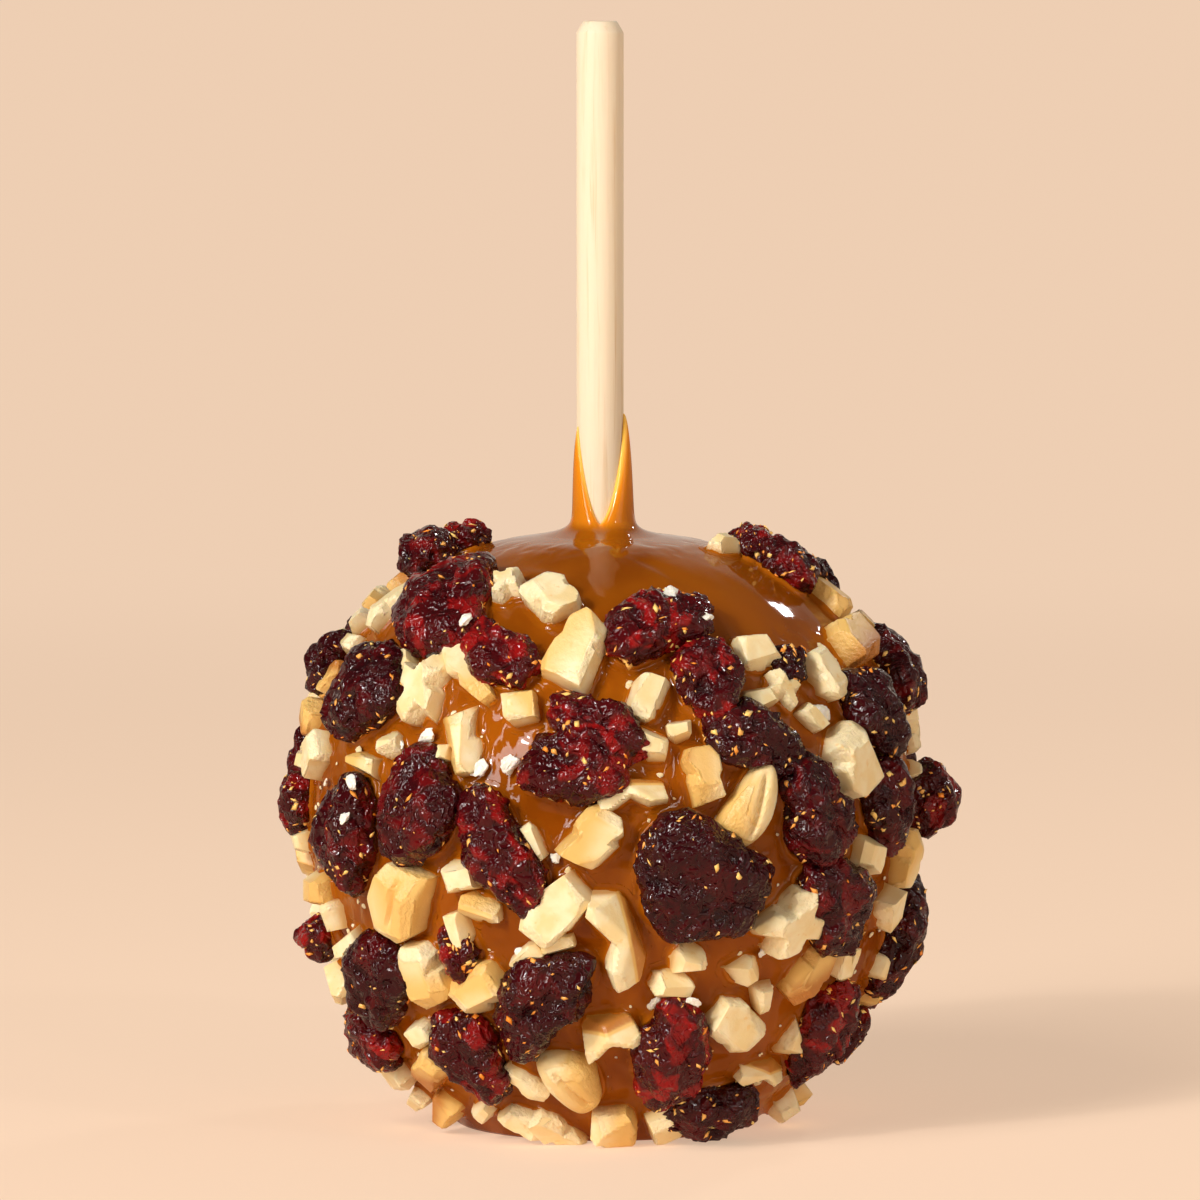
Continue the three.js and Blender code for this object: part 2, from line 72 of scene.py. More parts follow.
class Draw(IntEnum):
    """What a seeded number is drawn for, so that no two draws of a piece are the same."""

    TILTS = 0
    BROKEN_SIDE = 11
    LENGTH = 20
    SLIMNESS = 21
    HEIGHT = 22
    TURN = 23
    ORDER = 30
    CREASE_SIDE = 40
    LOBES = 50
    FOLDS = 60
    DENTS = 70
    SHADE = 90
    RIPPLE = 100


class NutTone(Enum):
    """How far a piece of nut is roasted: its share of golden brown, from 0 to 1."""

    PALE = 0.0
    HONEY = 0.3
    TAN = 0.45
    ROASTED = 0.85


class LightShape(Enum):
    """The outlines of a light's face."""

    RECTANGLE = "RECTANGLE"
    ELLIPSE = "ELLIPSE"


class NutForm(Enum):
    """The ways in which a nut breaks."""

    BLOCK = "block"
    CURL = "curl"
    HALF = "half"
    STAR = "star"
    GROOVED = "grooved"
    WEDGE = "wedge"


# ------------------------------------------------------------------ numbers


def chance(piece: Array | int, purpose: int) -> Array | float:
    """Return a seeded number from 0 to 1: the fraction of a large, fast sine of both numbers."""
    wave = np.sin(np.asarray(piece, dtype=float) * 12.9898 + purpose * 78.233) * 43758.5453
    return wave - np.floor(wave)


def between(limits: tuple[float, float], share: Array | float) -> Array | float:
    """Return the size that lies a share of the way between two limits."""
    return limits[0] + (limits[1] - limits[0]) * share


def smooth_step(low: float, high: float, value: Array) -> Array:
    """Return 0 below low, 1 above high and an even S-shaped blend between them."""
    share = np.clip((value - low) / (high - low), 0, 1)
    return share * share * (3 - 2 * share)


def seeded_directions(count: int, seed: int, purpose: int) -> Array:
    """Spread directions over a sphere by seeded heights and turns.

    Args:
        count: How many directions.
        seed: The number of the piece that they are drawn for.
        purpose: What they are drawn for.

    Returns:
        Unit vectors, shape (count, 3).
    """
    numbers = seed + 17 * np.arange(count)
    height = 2 * chance(numbers, purpose) - 1
    turn = FULL_TURN * chance(numbers, purpose + 1)
    flat = np.sqrt(1 - height**2)
    return np.stack([flat * np.cos(turn), flat * np.sin(turn), height], axis=1)


def ripple(points: Array, wavelength: float, seed: int, waves: int = 6) -> Array:
    """Work out smooth uneven bumps at each point.

    The height is the mean of sines along seeded directions. Each sine's phase is shifted by
    the value of the one before it, which bends its crests.

    Args:
        points: Places, shape (..., 3).
        wavelength: Distance between crests.
        seed: The number that the directions are drawn for.
        waves: How many sines are added.

    Returns:
        Heights from -1 to 1, with the shape of points without its last axis.
    """
    directions = seeded_directions(waves, seed, Draw.RIPPLE)
    bent = np.zeros(points.shape[:-1])
    total = np.zeros(points.shape[:-1])
    for order, direction in enumerate(directions):
        pitch = FULL_TURN / wavelength * (1 + 0.13 * order)
        offset = FULL_TURN * chance(seed + order, Draw.RIPPLE + 2)
        bent = np.sin(points @ direction * pitch + offset + 1.4 * bent)
        total += bent
    return total / waves


def cell_folds(points: Array, cells: Array, groove: float) -> Array:
    """Work out puffed cells with narrow grooves between them.

    The height is 1 - exp(-(distance to the second nearest cell's middle - distance to the
    nearest) / groove), so it is 0 along the borders of the cells and near 1 inside them.

    Args:
        points: Places, shape (count, 3).
        cells: The middles of the cells, shape (cells, 3).
        groove: How quickly a cell rises from its border.

    Returns:
        Heights from 0 to 1, shape (count,).
    """
    apart = np.linalg.norm(points[:, None, :] - cells[None, :, :], axis=2)
    nearest = np.partition(apart, 1, axis=1)[:, :2]
    return 1 - np.exp(-(nearest[:, 1] - nearest[:, 0]) / groove)


# ------------------------------------------------------------------ grids and meshes


@dataclass
class Surface:
    """A closed surface, or several joined into one, with a value at each vertex for its finish."""

    points: Array
    quads: Array
    triangles: Array = field(default_factory=lambda: np.zeros((0, 3), dtype=int))
    values: dict[str, Array] = field(default_factory=dict)

    @staticmethod
    def joined(parts: list[Surface]) -> Surface:
        """Join surfaces into one without changing any of them.

        Args:
            parts: Surfaces that carry the same values.

        Returns:
            One surface, with the parts' faces numbered on from each other.
        """
        starts = np.cumsum([0] + [len(part.points) for part in parts[:-1]])
        quads = [part.quads + start for part, start in zip(parts, starts)]
        triangles = [part.triangles + start for part, start in zip(parts, starts)]
        names = parts[0].values
        values = {name: np.concatenate([part.values[name] for part in parts]) for name in names}
        points = np.concatenate([part.points for part in parts])
        return Surface(points, np.concatenate(quads), np.concatenate(triangles), values)

    def as_object(self, name: str) -> bpy.types.Object:
        """Put the surface into a smooth-shaded mesh of a new object at the origin.

        Args:
            name: The name of the object and of its mesh.

        Returns:
            The object, linked to the scene.
        """
        loops = np.concatenate([self.quads.ravel(), self.triangles.ravel()]).astype(np.int32)
        sides = np.concatenate([
            np.full(len(self.quads), 4, dtype=np.int32),
            np.full(len(self.triangles), 3, dtype=np.int32),
        ])
        starts = np.concatenate([[0], np.cumsum(sides)[:-1]]).astype(np.int32)
        mesh = bpy.data.meshes.new(name)
        mesh.vertices.add(len(self.points))
        mesh.vertices.foreach_set("co", (self.points * MM).astype(np.float32).ravel())
        mesh.loops.add(len(loops))
        mesh.loops.foreach_set("vertex_index", loops)
        mesh.polygons.add(len(sides))
        mesh.polygons.foreach_set("loop_start", starts)
        mesh.update(calc_edges=True)
        mesh.validate()
        mesh.polygons.foreach_set("use_smooth", np.ones(len(mesh.polygons), dtype=bool))
        for key, value in self.values.items():
            attribute = mesh.attributes.new(key, "FLOAT", "POINT")
            attribute.data.foreach_set("value", value.astype(np.float32))
        mesh.update()
        piece = bpy.data.objects.new(name, mesh)
        bpy.context.scene.collection.objects.link(piece)
        return piece


def grid_quads(rows: int, columns: int, wrap: bool) -> Array:
    """Number the quads of a grid of vertices.

    Args:
        rows: Vertices down the grid.
        columns: Vertices across the grid.
        wrap: Whether the last column is joined to the first.

    Returns:
        Four vertex numbers a quad, counter-clockwise where rows and columns both grow away
        from the first corner as the X and Y axes do.
    """
    row, column = np.meshgrid(np.arange(rows - 1), np.arange(columns - (not wrap)), indexing="ij")
    beside = (column + 1) % columns
    corners = [row * columns + column, (row + 1) * columns + column]
    corners += [(row + 1) * columns + beside, row * columns + beside]
    return np.stack(corners, axis=-1).reshape(-1, 4)


def turned(rows: Array, start: float, end: float) -> tuple[Array, Array, Array]:
    """Close rows of points round the Z axis with a fan to a point at each end.

    Args:
        rows: Points, shape (rows, columns, 3), each row once round the axis.
        start: The height of the middle that closes the first row.
        end: The height of the middle that closes the last row.

    Returns:
        The points with both middles last, the quads, and the triangles of both fans.
    """
    count, columns = rows.shape[:2]
    points = np.concatenate([rows.reshape(-1, 3), [[0, 0, start], [0, 0, end]]])
    first = np.arange(columns)
    last = first + (count - 1) * columns
    middle = np.full(columns, count * columns)
    fans = [np.stack([middle, np.roll(first, -1), first], axis=1),
            np.stack([middle + 1, last, np.roll(last, -1)], axis=1)]
    return points, grid_quads(count, columns, wrap=True)[:, ::-1], np.concatenate(fans)


def cube_grid(steps: int, crowding: float) -> tuple[Array, Array]:
    """Make a grid over the six sides of a cube from -1 to 1, one vertex at each place.

    Args:
        steps: Squares along each side.
        crowding: From 0, evenly spaced, to 1, spaced as a sine, closer near the edges.

    Returns:
        The vertices, shape (count, 3), and the quads with their faces outwards.
    """
    even = np.linspace(-1, 1, steps + 1)
    line = (1 - crowding) * even + crowding * np.sin(even * math.pi / 2)
    u, v = np.meshgrid(line, line, indexing="ij")
    one = np.ones_like(u)
    sides = [(one, u, v), (-one, v, u), (v, one, u), (u, -one, v), (u, v, one), (v, u, -one)]
    points = np.concatenate([np.stack(side, axis=-1).reshape(-1, 3) for side in sides])
    square = grid_quads(steps + 1, steps + 1, wrap=False)
    quads = np.concatenate([square + number * (steps + 1) ** 2 for number in range(len(sides))])
    _, first, merged = np.unique(points.round(6), axis=0, return_index=True, return_inverse=True)
    return points[first], merged.ravel()[quads]


def dome_grid(steps: int) -> tuple[Array, Array, Array, Array]:
    """Make a round grid without a pole, closed below by a fan.

    A square from -1 to 1 becomes a disc: x sqrt(1 - y^2 / 2) and y sqrt(1 - x^2 / 2).

    Args:
        steps: Squares along each side of the square.

    Returns:
        The reach from 0 to 1 and the turn of each vertex, shape (steps + 1, steps + 1), the
        quads, and the triangles of the fan to one more vertex under the middle.
    """
    line = np.linspace(-1, 1, steps + 1)
    x, y = np.meshgrid(line, line, indexing="ij")
    across = x * np.sqrt(1 - y**2 / 2)
    upwards = y * np.sqrt(1 - x**2 / 2)
    number = np.arange((steps + 1) ** 2).reshape(steps + 1, steps + 1)
    rim = np.concatenate([number[:-1, 0], number[-1, :-1], number[:0:-1, -1], number[0, :0:-1]])
    under = np.full(len(rim), number.size)
    fan = np.stack([under, np.roll(rim, -1), rim], axis=1)
    quads = grid_quads(steps + 1, steps + 1, wrap=False)
    return np.hypot(across, upwards), np.arctan2(upwards, across), quads, fan


# ------------------------------------------------------------------ the apple's form


@dataclass(frozen=True)
class AppleForm:
    """The coated apple: a superellipse turned about the Z axis, fuller towards +X."""

    middle_z: float = 42.0
    girth_radius: float = 40.0
    crown_height: float = 37.2
    crown_power: float = 2.3
    base_depth: float = 50.0
    base_power: float = 1.85
    lean_share: float = 0.03

    def radius(self, latitude: Array) -> Array:
        """Work out the distance from the middle of the apple to its surface.

        The surface is where (flat / girth)^power + (up / height)^power = 1.

        Args:
            latitude: Latitudes in radians.

        Returns:
            Distances, of the same shape.
        """
        upper = latitude >= 0
        depth = np.where(upper, self.crown_height, self.base_depth)
        power = np.where(upper, self.crown_power, self.base_power)
        across = (np.cos(latitude) / self.girth_radius) ** power
        upwards = (np.abs(np.sin(latitude)) / depth) ** power
        return (across + upwards) ** (-1 / power)

    def lean(self, azimuth: Array) -> Array:
        """Return how much further from the axis the apple stands at an azimuth."""
        return 1 + self.lean_share * np.sin(azimuth)

    def point(self, azimuth: Array, latitude: Array) -> Array:
        """Return the points on the caramel at azimuths and latitudes, shape (..., 3)."""
        radius = self.radius(latitude)
        from_axis = radius * np.cos(latitude) * self.lean(azimuth)
        z = self.middle_z + radius * np.sin(latitude)
        return np.stack([from_axis * np.sin(azimuth), -from_axis * np.cos(azimuth), z], axis=-1)

    def axes(self, azimuth: Array, latitude: Array) -> tuple[Array, Array, Array]:
        """Work out the directions on the caramel.

        North is the difference of two points a small step of latitude apart, and outwards is
        east times north.

        Args:
            azimuth: Azimuths in radians.
            latitude: Latitudes in radians, of the same shape.

        Returns:
            The unit vectors east, north and outwards, each of shape (..., 3).
        """
        step = 0.01
        level = np.zeros_like(azimuth)
        east = np.stack([np.cos(azimuth), np.sin(azimuth), level], axis=-1)
        north = self.point(azimuth, latitude + step) - self.point(azimuth, latitude - step)
        north /= np.linalg.norm(north, axis=-1, keepdims=True)
        outwards = np.cross(east, north)
        outwards /= np.linalg.norm(outwards, axis=-1, keepdims=True)
        return east, north, outwards

    def standing(self, points: Array, azimuth: float, latitude: float, turn: float,
                 height: float) -> Array:
        """Stand a piece on the caramel, clear of the ground.

        Args:
            points: Its vertices along, across and above its middle, shape (count, 3).
            azimuth: Where it stands, in radians.
            latitude: Where it stands, in radians.
            turn: How far it is turned from east, in radians.
            height: The height of its middle above the caramel.

        Returns:
            The vertices on the apple.
        """
        here = np.array(azimuth), np.array(latitude)
        east, north, outwards = self.axes(*here)
        along = east * math.cos(turn) + north * math.sin(turn)
        across = np.cross(outwards, along)
        middle = self.point(*here) + outwards * height
        placed = middle + points @ np.array([along, across, outwards])
        placed[:, 2] = np.maximum(placed[:, 2], LOWEST)
        return placed

    def spread(self, topping: Topping, flat: Array) -> tuple[Array, Array]:
        """Turn places beside a topping's middle into azimuths and latitudes of the same arcs.

        Args:
            topping: The topping.
            flat: Places along and across it, shape (..., 2 or more).

        Returns:
            The azimuths and the latitudes, shape (...).
        """
        middle = self.point(np.array(topping.azimuth), np.array(topping.latitude))
        to_axis = math.hypot(middle[0], middle[1])
        to_middle = float(self.radius(np.array(topping.latitude)))
        east = flat[..., 0] * math.cos(topping.turn) - flat[..., 1] * math.sin(topping.turn)
        north = flat[..., 0] * math.sin(topping.turn) + flat[..., 1] * math.cos(topping.turn)
        return topping.azimuth + east / to_axis, topping.latitude + north / to_middle

    def crown_z(self, from_axis: Array) -> Array:
        """Return the height of the crown's surface at a distance from the axis."""
        share = 1 - (from_axis / self.girth_radius) ** self.crown_power
        return self.middle_z + self.crown_height * share ** (1 / self.crown_power)

    @property
    def foot_radius(self) -> float:
        """The radius of the flat foot, where the lower half is cut by z = 0."""
        share = (self.middle_z / self.base_depth) ** self.base_power
        return self.girth_radius * (1 - share) ** (1 / self.base_power)

    @property
    def foot_latitude(self) -> float:
        """The latitude of the edge of the flat foot."""
        return -math.atan2(self.middle_z, self.foot_radius)


@dataclass(frozen=True)
class Topping:
    """A cranberry or a piece of nut, and where it lies."""

    number: int
    azimuth: float
    latitude: float
    length: float
    width: float
    turn: float
    height: float = 0.0
    tone: NutTone = NutTone.PALE
    form: NutForm = NutForm.BLOCK

    @classmethod
    def in_degrees(cls, number: int, azimuth: float, latitude: float, length: float,
                   width: float, turn: float, **looks: object) -> Topping:
        """Return a topping whose angles are given in degrees."""
        return cls(number, math.radians(azimuth), math.radians(latitude), length, width,
                   math.radians(turn), **looks)


PALE, HONEY, TAN, ROASTED = NutTone.PALE, NutTone.HONEY, NutTone.TAN, NutTone.ROASTED
CURL, HALF, STAR, GROOVED = NutForm.CURL, NutForm.HALF, NutForm.STAR, NutForm.GROOVED
WEDGE = NutForm.WEDGE


@dataclass(frozen=True)
class ToppingLayout:
    """Where the toppings lie: tables for the side shown, and a seeded rule for the far side."""

    form: AppleForm
    # Azimuth, latitude, length, width, height, turn.
    cranberries: tuple[tuple[float, ...], ...] = (
        # upper left
        (-86, 55, 10, 7, 5.5, -30), (-94, 62, 8, 6, 4, -10), (-43, 44, 16, 13.5, 5.5, -55),
        (-23, 34, 14, 6.5, 4.5, -38), (-80, 28, 8, 7, 4.5, 65), (-54, 25, 15, 10.5, 5.5, 60),
        # left
        (-88, 1, 9, 6, 4, 80), (-54, -1, 14.5, 10.5, 5.5, 90), (-35, 5, 14, 11.5, 5.5, 70),
        (-18, -2, 16.5, 8.5, 5.5, -61), (-86, -24, 9.5, 5, 4.5, 5), (-28, -22, 8, 4.5, 3.5, -75),
        # front
        (0, 20, 13.5, 7.5, 4.5, -36), (-5, 13, 12.5, 9, 5, -10), (13, 40, 14.5, 9, 5, 25),
        (22, 29, 10, 8.5, 5, 63), (29, 18, 14.5, 8, 4.5, -19), (42, 31, 5.5, 4.5, 3, 5),
        (41, 4, 14, 10, 5.5, -75), (18, -7, 19, 14, 6, -24), (47, -13, 14, 10.5, 5.5, -45),
        # upper right and right
        (81, 60.5, 7, 5, 4.5, 25), (76, 53, 9, 7.5, 5, 50), (88, 48, 8, 6, 4, 40),
        (86, 26, 12, 8, 5.5, 66), (61.5, 20, 14, 8, 5, -67), (61, 4, 11.5, 8.5, 5, -75),
        (88, 2, 9, 8, 7, 80), (80, -23, 15, 8, 5.5, 79),
        # round the base
        (-51.5, -28, 14, 11, 5.5, 60), (-68, -41.5, 11, 9, 5, -30), (-31, -42, 14.5, 9, 5, -85),
        (-12, -30, 16, 10, 5.5, 46), (16, -41, 16.5, 9, 5.5, -80), (33, -55, 12, 9, 4.5, -10),
        (56, -39, 15, 9, 5, -80), (84, -43, 8, 5.5, 3.5, -60),
    )
    # Azimuth, latitude, length, width, turn, and the tone and form where not a pale block.
    nuts: tuple[tuple, ...] = (
        # upper left
        (-67, 42, 7.5, 3.6, 80), (-80, 38, 3.8, 3.2, -20), (-75, 33, 3.4, 2.6, 0),
        (-74, 26, 5.5, 3.2, 35, ROASTED), (-80, 18, 4.4, 4.4, 60, ROASTED), (-70, 12.5, 5, 5, -60),
        (-90, 9, 3.2, 2.6, 0), (-51, 12, 5, 2.6, 0, TAN), (-44, 16, 3.4, 3, 15, PALE, WEDGE),
        (-46, 31.5, 3.2, 2.6, -45), (-38, 26, 9, 6, -80, PALE, STAR),
        (-28.5, 30, 11, 3.4, -42, HONEY), (-27.5, 50, 5, 4.2, -60, PALE, STAR),
        (-12.5, 46.5, 6.8, 6, -50), (-15.5, 24, 4.5, 4.3, 3, HONEY),
        (-27, 17, 8.3, 3.6, -75, HONEY, WEDGE), (-32.5, 15, 4.5, 2.6, 5),
        # front
        (-5, 34.5, 9.6, 6.4, 60, HONEY), (9, 26, 6.2, 4.1, 58), (8.5, 17.5, 5.6, 3.7, -15),
        (5.5, 8.5, 9, 4.4, 5, PALE, CURL), (19, 12, 7.2, 4.8, -80, TAN),
        (28, 6, 12, 6.5, 66, HONEY, HALF), (-1, 1, 7.6, 6, 55, HONEY), (-12, 0, 5, 2, -60),
        (-8, -12.5, 9.5, 6, 45), (3, -18.5, 12.5, 5.8, -75, PALE, CURL),
        # upper right
        (67, 64, 4.5, 3, -10), (34.5, 34, 5.2, 4.6, 8), (38, 26.5, 5.3, 3.8, -35, PALE, STAR),
        (51, 28.5, 6.8, 4.6, -70), (68, 34, 8.5, 6.5, 10, ROASTED), (80, 43.5, 6.5, 3.8, 80, TAN),
        (92, 36, 5, 3.5, 0, ROASTED),
        # right
        (51, 12.5, 8.6, 7.6, -65), (47.5, -1.5, 4.6, 2.5, 35), (88, 17.5, 5, 3.2, -35),
        (88, 12.5, 4.5, 2.5, -10), (87, 6, 5, 2.6, -30), (56, -5, 5.6, 4.4, -20),
        (72.5, -7.5, 8, 5, 80, TAN), (68.5, -17, 5.6, 3.8, -50), (87, -0.5, 6, 2.5, 85),
        (37, -16, 9.6, 7.4, 30, PALE, STAR), (45, -26.5, 8.6, 4.2, 45, ROASTED),
        (76, -29, 4.8, 3.4, -20, TAN), (58, -26.5, 4.8, 1.7, 80), (82, -35, 4, 3.4, -5, TAN),
        # left
        (-26.5, -7, 4.7, 3.9, 10), (-23, -13, 5.9, 3, -12, HONEY, WEDGE),
        (-40, -12.5, 10.4, 7.3, 60, HONEY, GROOVED), (-72, -13.5, 5.8, 4.2, 0, TAN),
        (-88, -6, 4, 3.2, 5), (-60, -23, 4.2, 3.6, 20), (-80, -32.5, 5.2, 4.2, -50),
        # round the base
        (-37, -26, 8.6, 6.4, -75, TAN), (-25, -28, 7.8, 5.5, 38, TAN, WEDGE),
        (-44.5, -39, 3.9, 3.4, 25), (-70, -50, 6.5, 4.5, 10),
        (-47, -46.5, 7.2, 4.6, 30, ROASTED), (-72, -56, 5, 3, 15),
        (-53.5, -56.5, 5.6, 4, 43, ROASTED), (-19, -48, 7, 2.7, -50), (-23, -57, 5.6, 4, -35),
        (-13.5, -59.5, 8.5, 3.6, -55), (-6.5, -47, 10.8, 7.2, -60, TAN, HALF),
        (-36.5, -56, 3.5, 2.5, 35), (17.5, -22.5, 4, 3.3, 5, PALE, WEDGE),
        (29.5, -25, 3.6, 3.3, -50, PALE, WEDGE), (14.5, -27.5, 5.4, 3.5, -15, PALE, WEDGE),
        (29, -35.5, 7.8, 6, -40), (48.5, -41, 4.1, 3.7, -30, PALE, WEDGE),
        (43, -47.5, 8.5, 3.3, -10, PALE, CURL), (74, -58, 5.8, 4.3, -25),
        (82, -56, 4, 3.4, -15, TAN), (19.5, -58, 5.6, 4.2, -60), (4.5, -58, 7, 5.8, -80, TAN),
        (2.5, -37.5, 7.2, 6, 20, PALE, CURL),
    )
    far_cranberries: int = 21
    far_cranberry_spots: int = 50
    far_cranberry_length: tuple[float, float] = (10, 16)
    far_cranberry_slimness: tuple[float, float] = (0.58, 0.75)
    far_cranberry_height: tuple[float, float] = (4.2, 5.6)
    far_cranberry_room: float = 0.4
    far_nut_spots: int = 420
    far_nut_length: tuple[float, float] = (4, 11)
    far_nut_slimness: tuple[float, float] = (0.5, 0.8)
    far_nut_room: float = 0.35
    far_nut_room_to_fruit: float = 0.46
    far_chip_spots: int = 1500
    far_chip_length: tuple[float, float] = (2.6, 5.6)
    far_chip_room: float = 0.48
    far_azimuth: float = 94
    lowest_topping: float = -50
    highest_topping: float = 50

    def far_spots(self, count: int) -> tuple[Array, Array, Array]:
        """Spread spots over the apple by the golden angle, and keep those on the far side.

        Args:
            count: Spots over the whole apple.

        Returns:
            The number, azimuth and latitude of each spot that is kept.
        """
        number = np.arange(count)
        turned = (number * (math.pi * (3 - math.sqrt(5)))) % FULL_TURN
        azimuth = np.where(turned > math.pi, turned - FULL_TURN, turned)
        lowest = math.sin(math.radians(self.lowest_topping))
        highest = math.sin(math.radians(self.highest_topping))
        latitude = np.arcsin(lowest + (highest - lowest) * (number + 0.5) / count)
        far = np.abs(azimuth) > math.radians(self.far_azimuth)
        return number[far], azimuth[far], latitude[far]

    def has_room(self, topping: Topping, others: list[Topping], share: float) -> bool:
        """Tell whether a topping's middle is clear of the others' by a share of both lengths."""
        if not others:
            return True
        azimuths = np.array([other.azimuth for other in others])
        latitudes = np.array([other.latitude for other in others])
        lengths = np.array([other.length for other in others])
        here = self.form.point(np.array(topping.azimuth), np.array(topping.latitude))
        apart = np.linalg.norm(self.form.point(azimuths, latitudes) - here, axis=1)
        return bool(np.all(apart > share * (topping.length + lengths)))

    def place_cranberries(self) -> list[Topping]:
        """Return all the cranberries, the shown ones first."""
        shown = [Topping.in_degrees(number, *place, turn, height=height)
                 for number, (*place, height, turn) in enumerate(self.cranberries)]
        far = []
        for number, azimuth, latitude in zip(*self.far_spots(self.far_cranberry_spots)):
            length = between(self.far_cranberry_length, chance(number, Draw.LENGTH))
            slimness = between(self.far_cranberry_slimness, chance(number, Draw.SLIMNESS))
            height = between(self.far_cranberry_height, chance(number, Draw.HEIGHT))
            turn = math.pi * chance(number, Draw.TURN)
            berry = Topping(number, azimuth, latitude, length, length * slimness, turn, height)
            if self.has_room(berry, shown, self.far_cranberry_room):
                far.append(berry)
        return shown + far[: self.far_cranberries]

    def place_nuts(self, cranberries: list[Topping]) -> list[Topping]:
        """Place the nuts, the shown ones first and on the far side the largest first.

        Args:
            cranberries: The cranberries, which the far nuts stay clear of.

        Returns:
            All the pieces of nut.
        """
        nuts = [Topping.in_degrees(number, *row[:5], **dict(zip(("tone", "form"), row[5:])))
                for number, row in enumerate(self.nuts)]
        numbers, azimuths, latitudes = self.far_spots(self.far_nut_spots)
        drawn_order = np.argsort(chance(numbers, Draw.ORDER), kind="stable")
        longest, shortest = self.far_nut_length[1], self.far_nut_length[0]
        for order, spot in enumerate(drawn_order):
            length = longest + (shortest - longest) * math.sqrt(order / len(numbers))
            slimness = between(self.far_nut_slimness, chance(numbers[spot], Draw.SLIMNESS))
            turn = math.pi * chance(numbers[spot], Draw.TURN)
            nut = Topping(len(nuts), azimuths[spot], latitudes[spot], length, length * slimness,
                          turn, tone=self.far_tone(len(nuts)), form=self.far_form(len(nuts)))
            if not self.has_room(nut, cranberries, self.far_nut_room_to_fruit):
                continue
            if self.has_room(nut, nuts, self.far_nut_room):
                nuts.append(nut)
        return nuts

    def place_chips(self, toppings: list[Topping]) -> list[Topping]:
        """Fill the far side's gaps with chips of nut too fine for a solid of their own.

        Args:
            toppings: The toppings that the chips stay clear of.

        Returns:
            The chips.
        """
        chips = []
        for number, azimuth, latitude in zip(*self.far_spots(self.far_chip_spots)):
            length = between(self.far_chip_length, chance(number, Draw.LENGTH))
            width = length * between(self.far_nut_slimness, chance(number, Draw.SLIMNESS))
            turn = math.pi * chance(number, Draw.TURN)
            chip = Topping(int(number) + self.far_chip_spots, azimuth, latitude, length, width,
                           turn, tone=self.far_tone(int(number)))
            if self.has_room(chip, toppings + chips, self.far_chip_room):
                chips.append(chip)
        return chips

    def far_tone(self, number: int) -> NutTone:
        """Draw a tone for a nut on the far side, in the shares of the side shown."""
        share = chance(number, Draw.SHADE)
        tones = ((0.55, PALE), (0.72, HONEY), (0.88, TAN))
        return next((tone for most, tone in tones if share < most), ROASTED)

    def far_form(self, number: int) -> NutForm:
        """Draw a form for a nut on the far side, in the shares of the side shown."""
        share = chance(number, Draw.SHADE + 1)
        forms = ((0.55, NutForm.BLOCK), (0.7, WEDGE), (0.8, CURL), (0.86, HALF), (0.95, STAR))
        return next((form for most, form in forms if share < most), GROOVED)


# ------------------------------------------------------------------ shader nodes


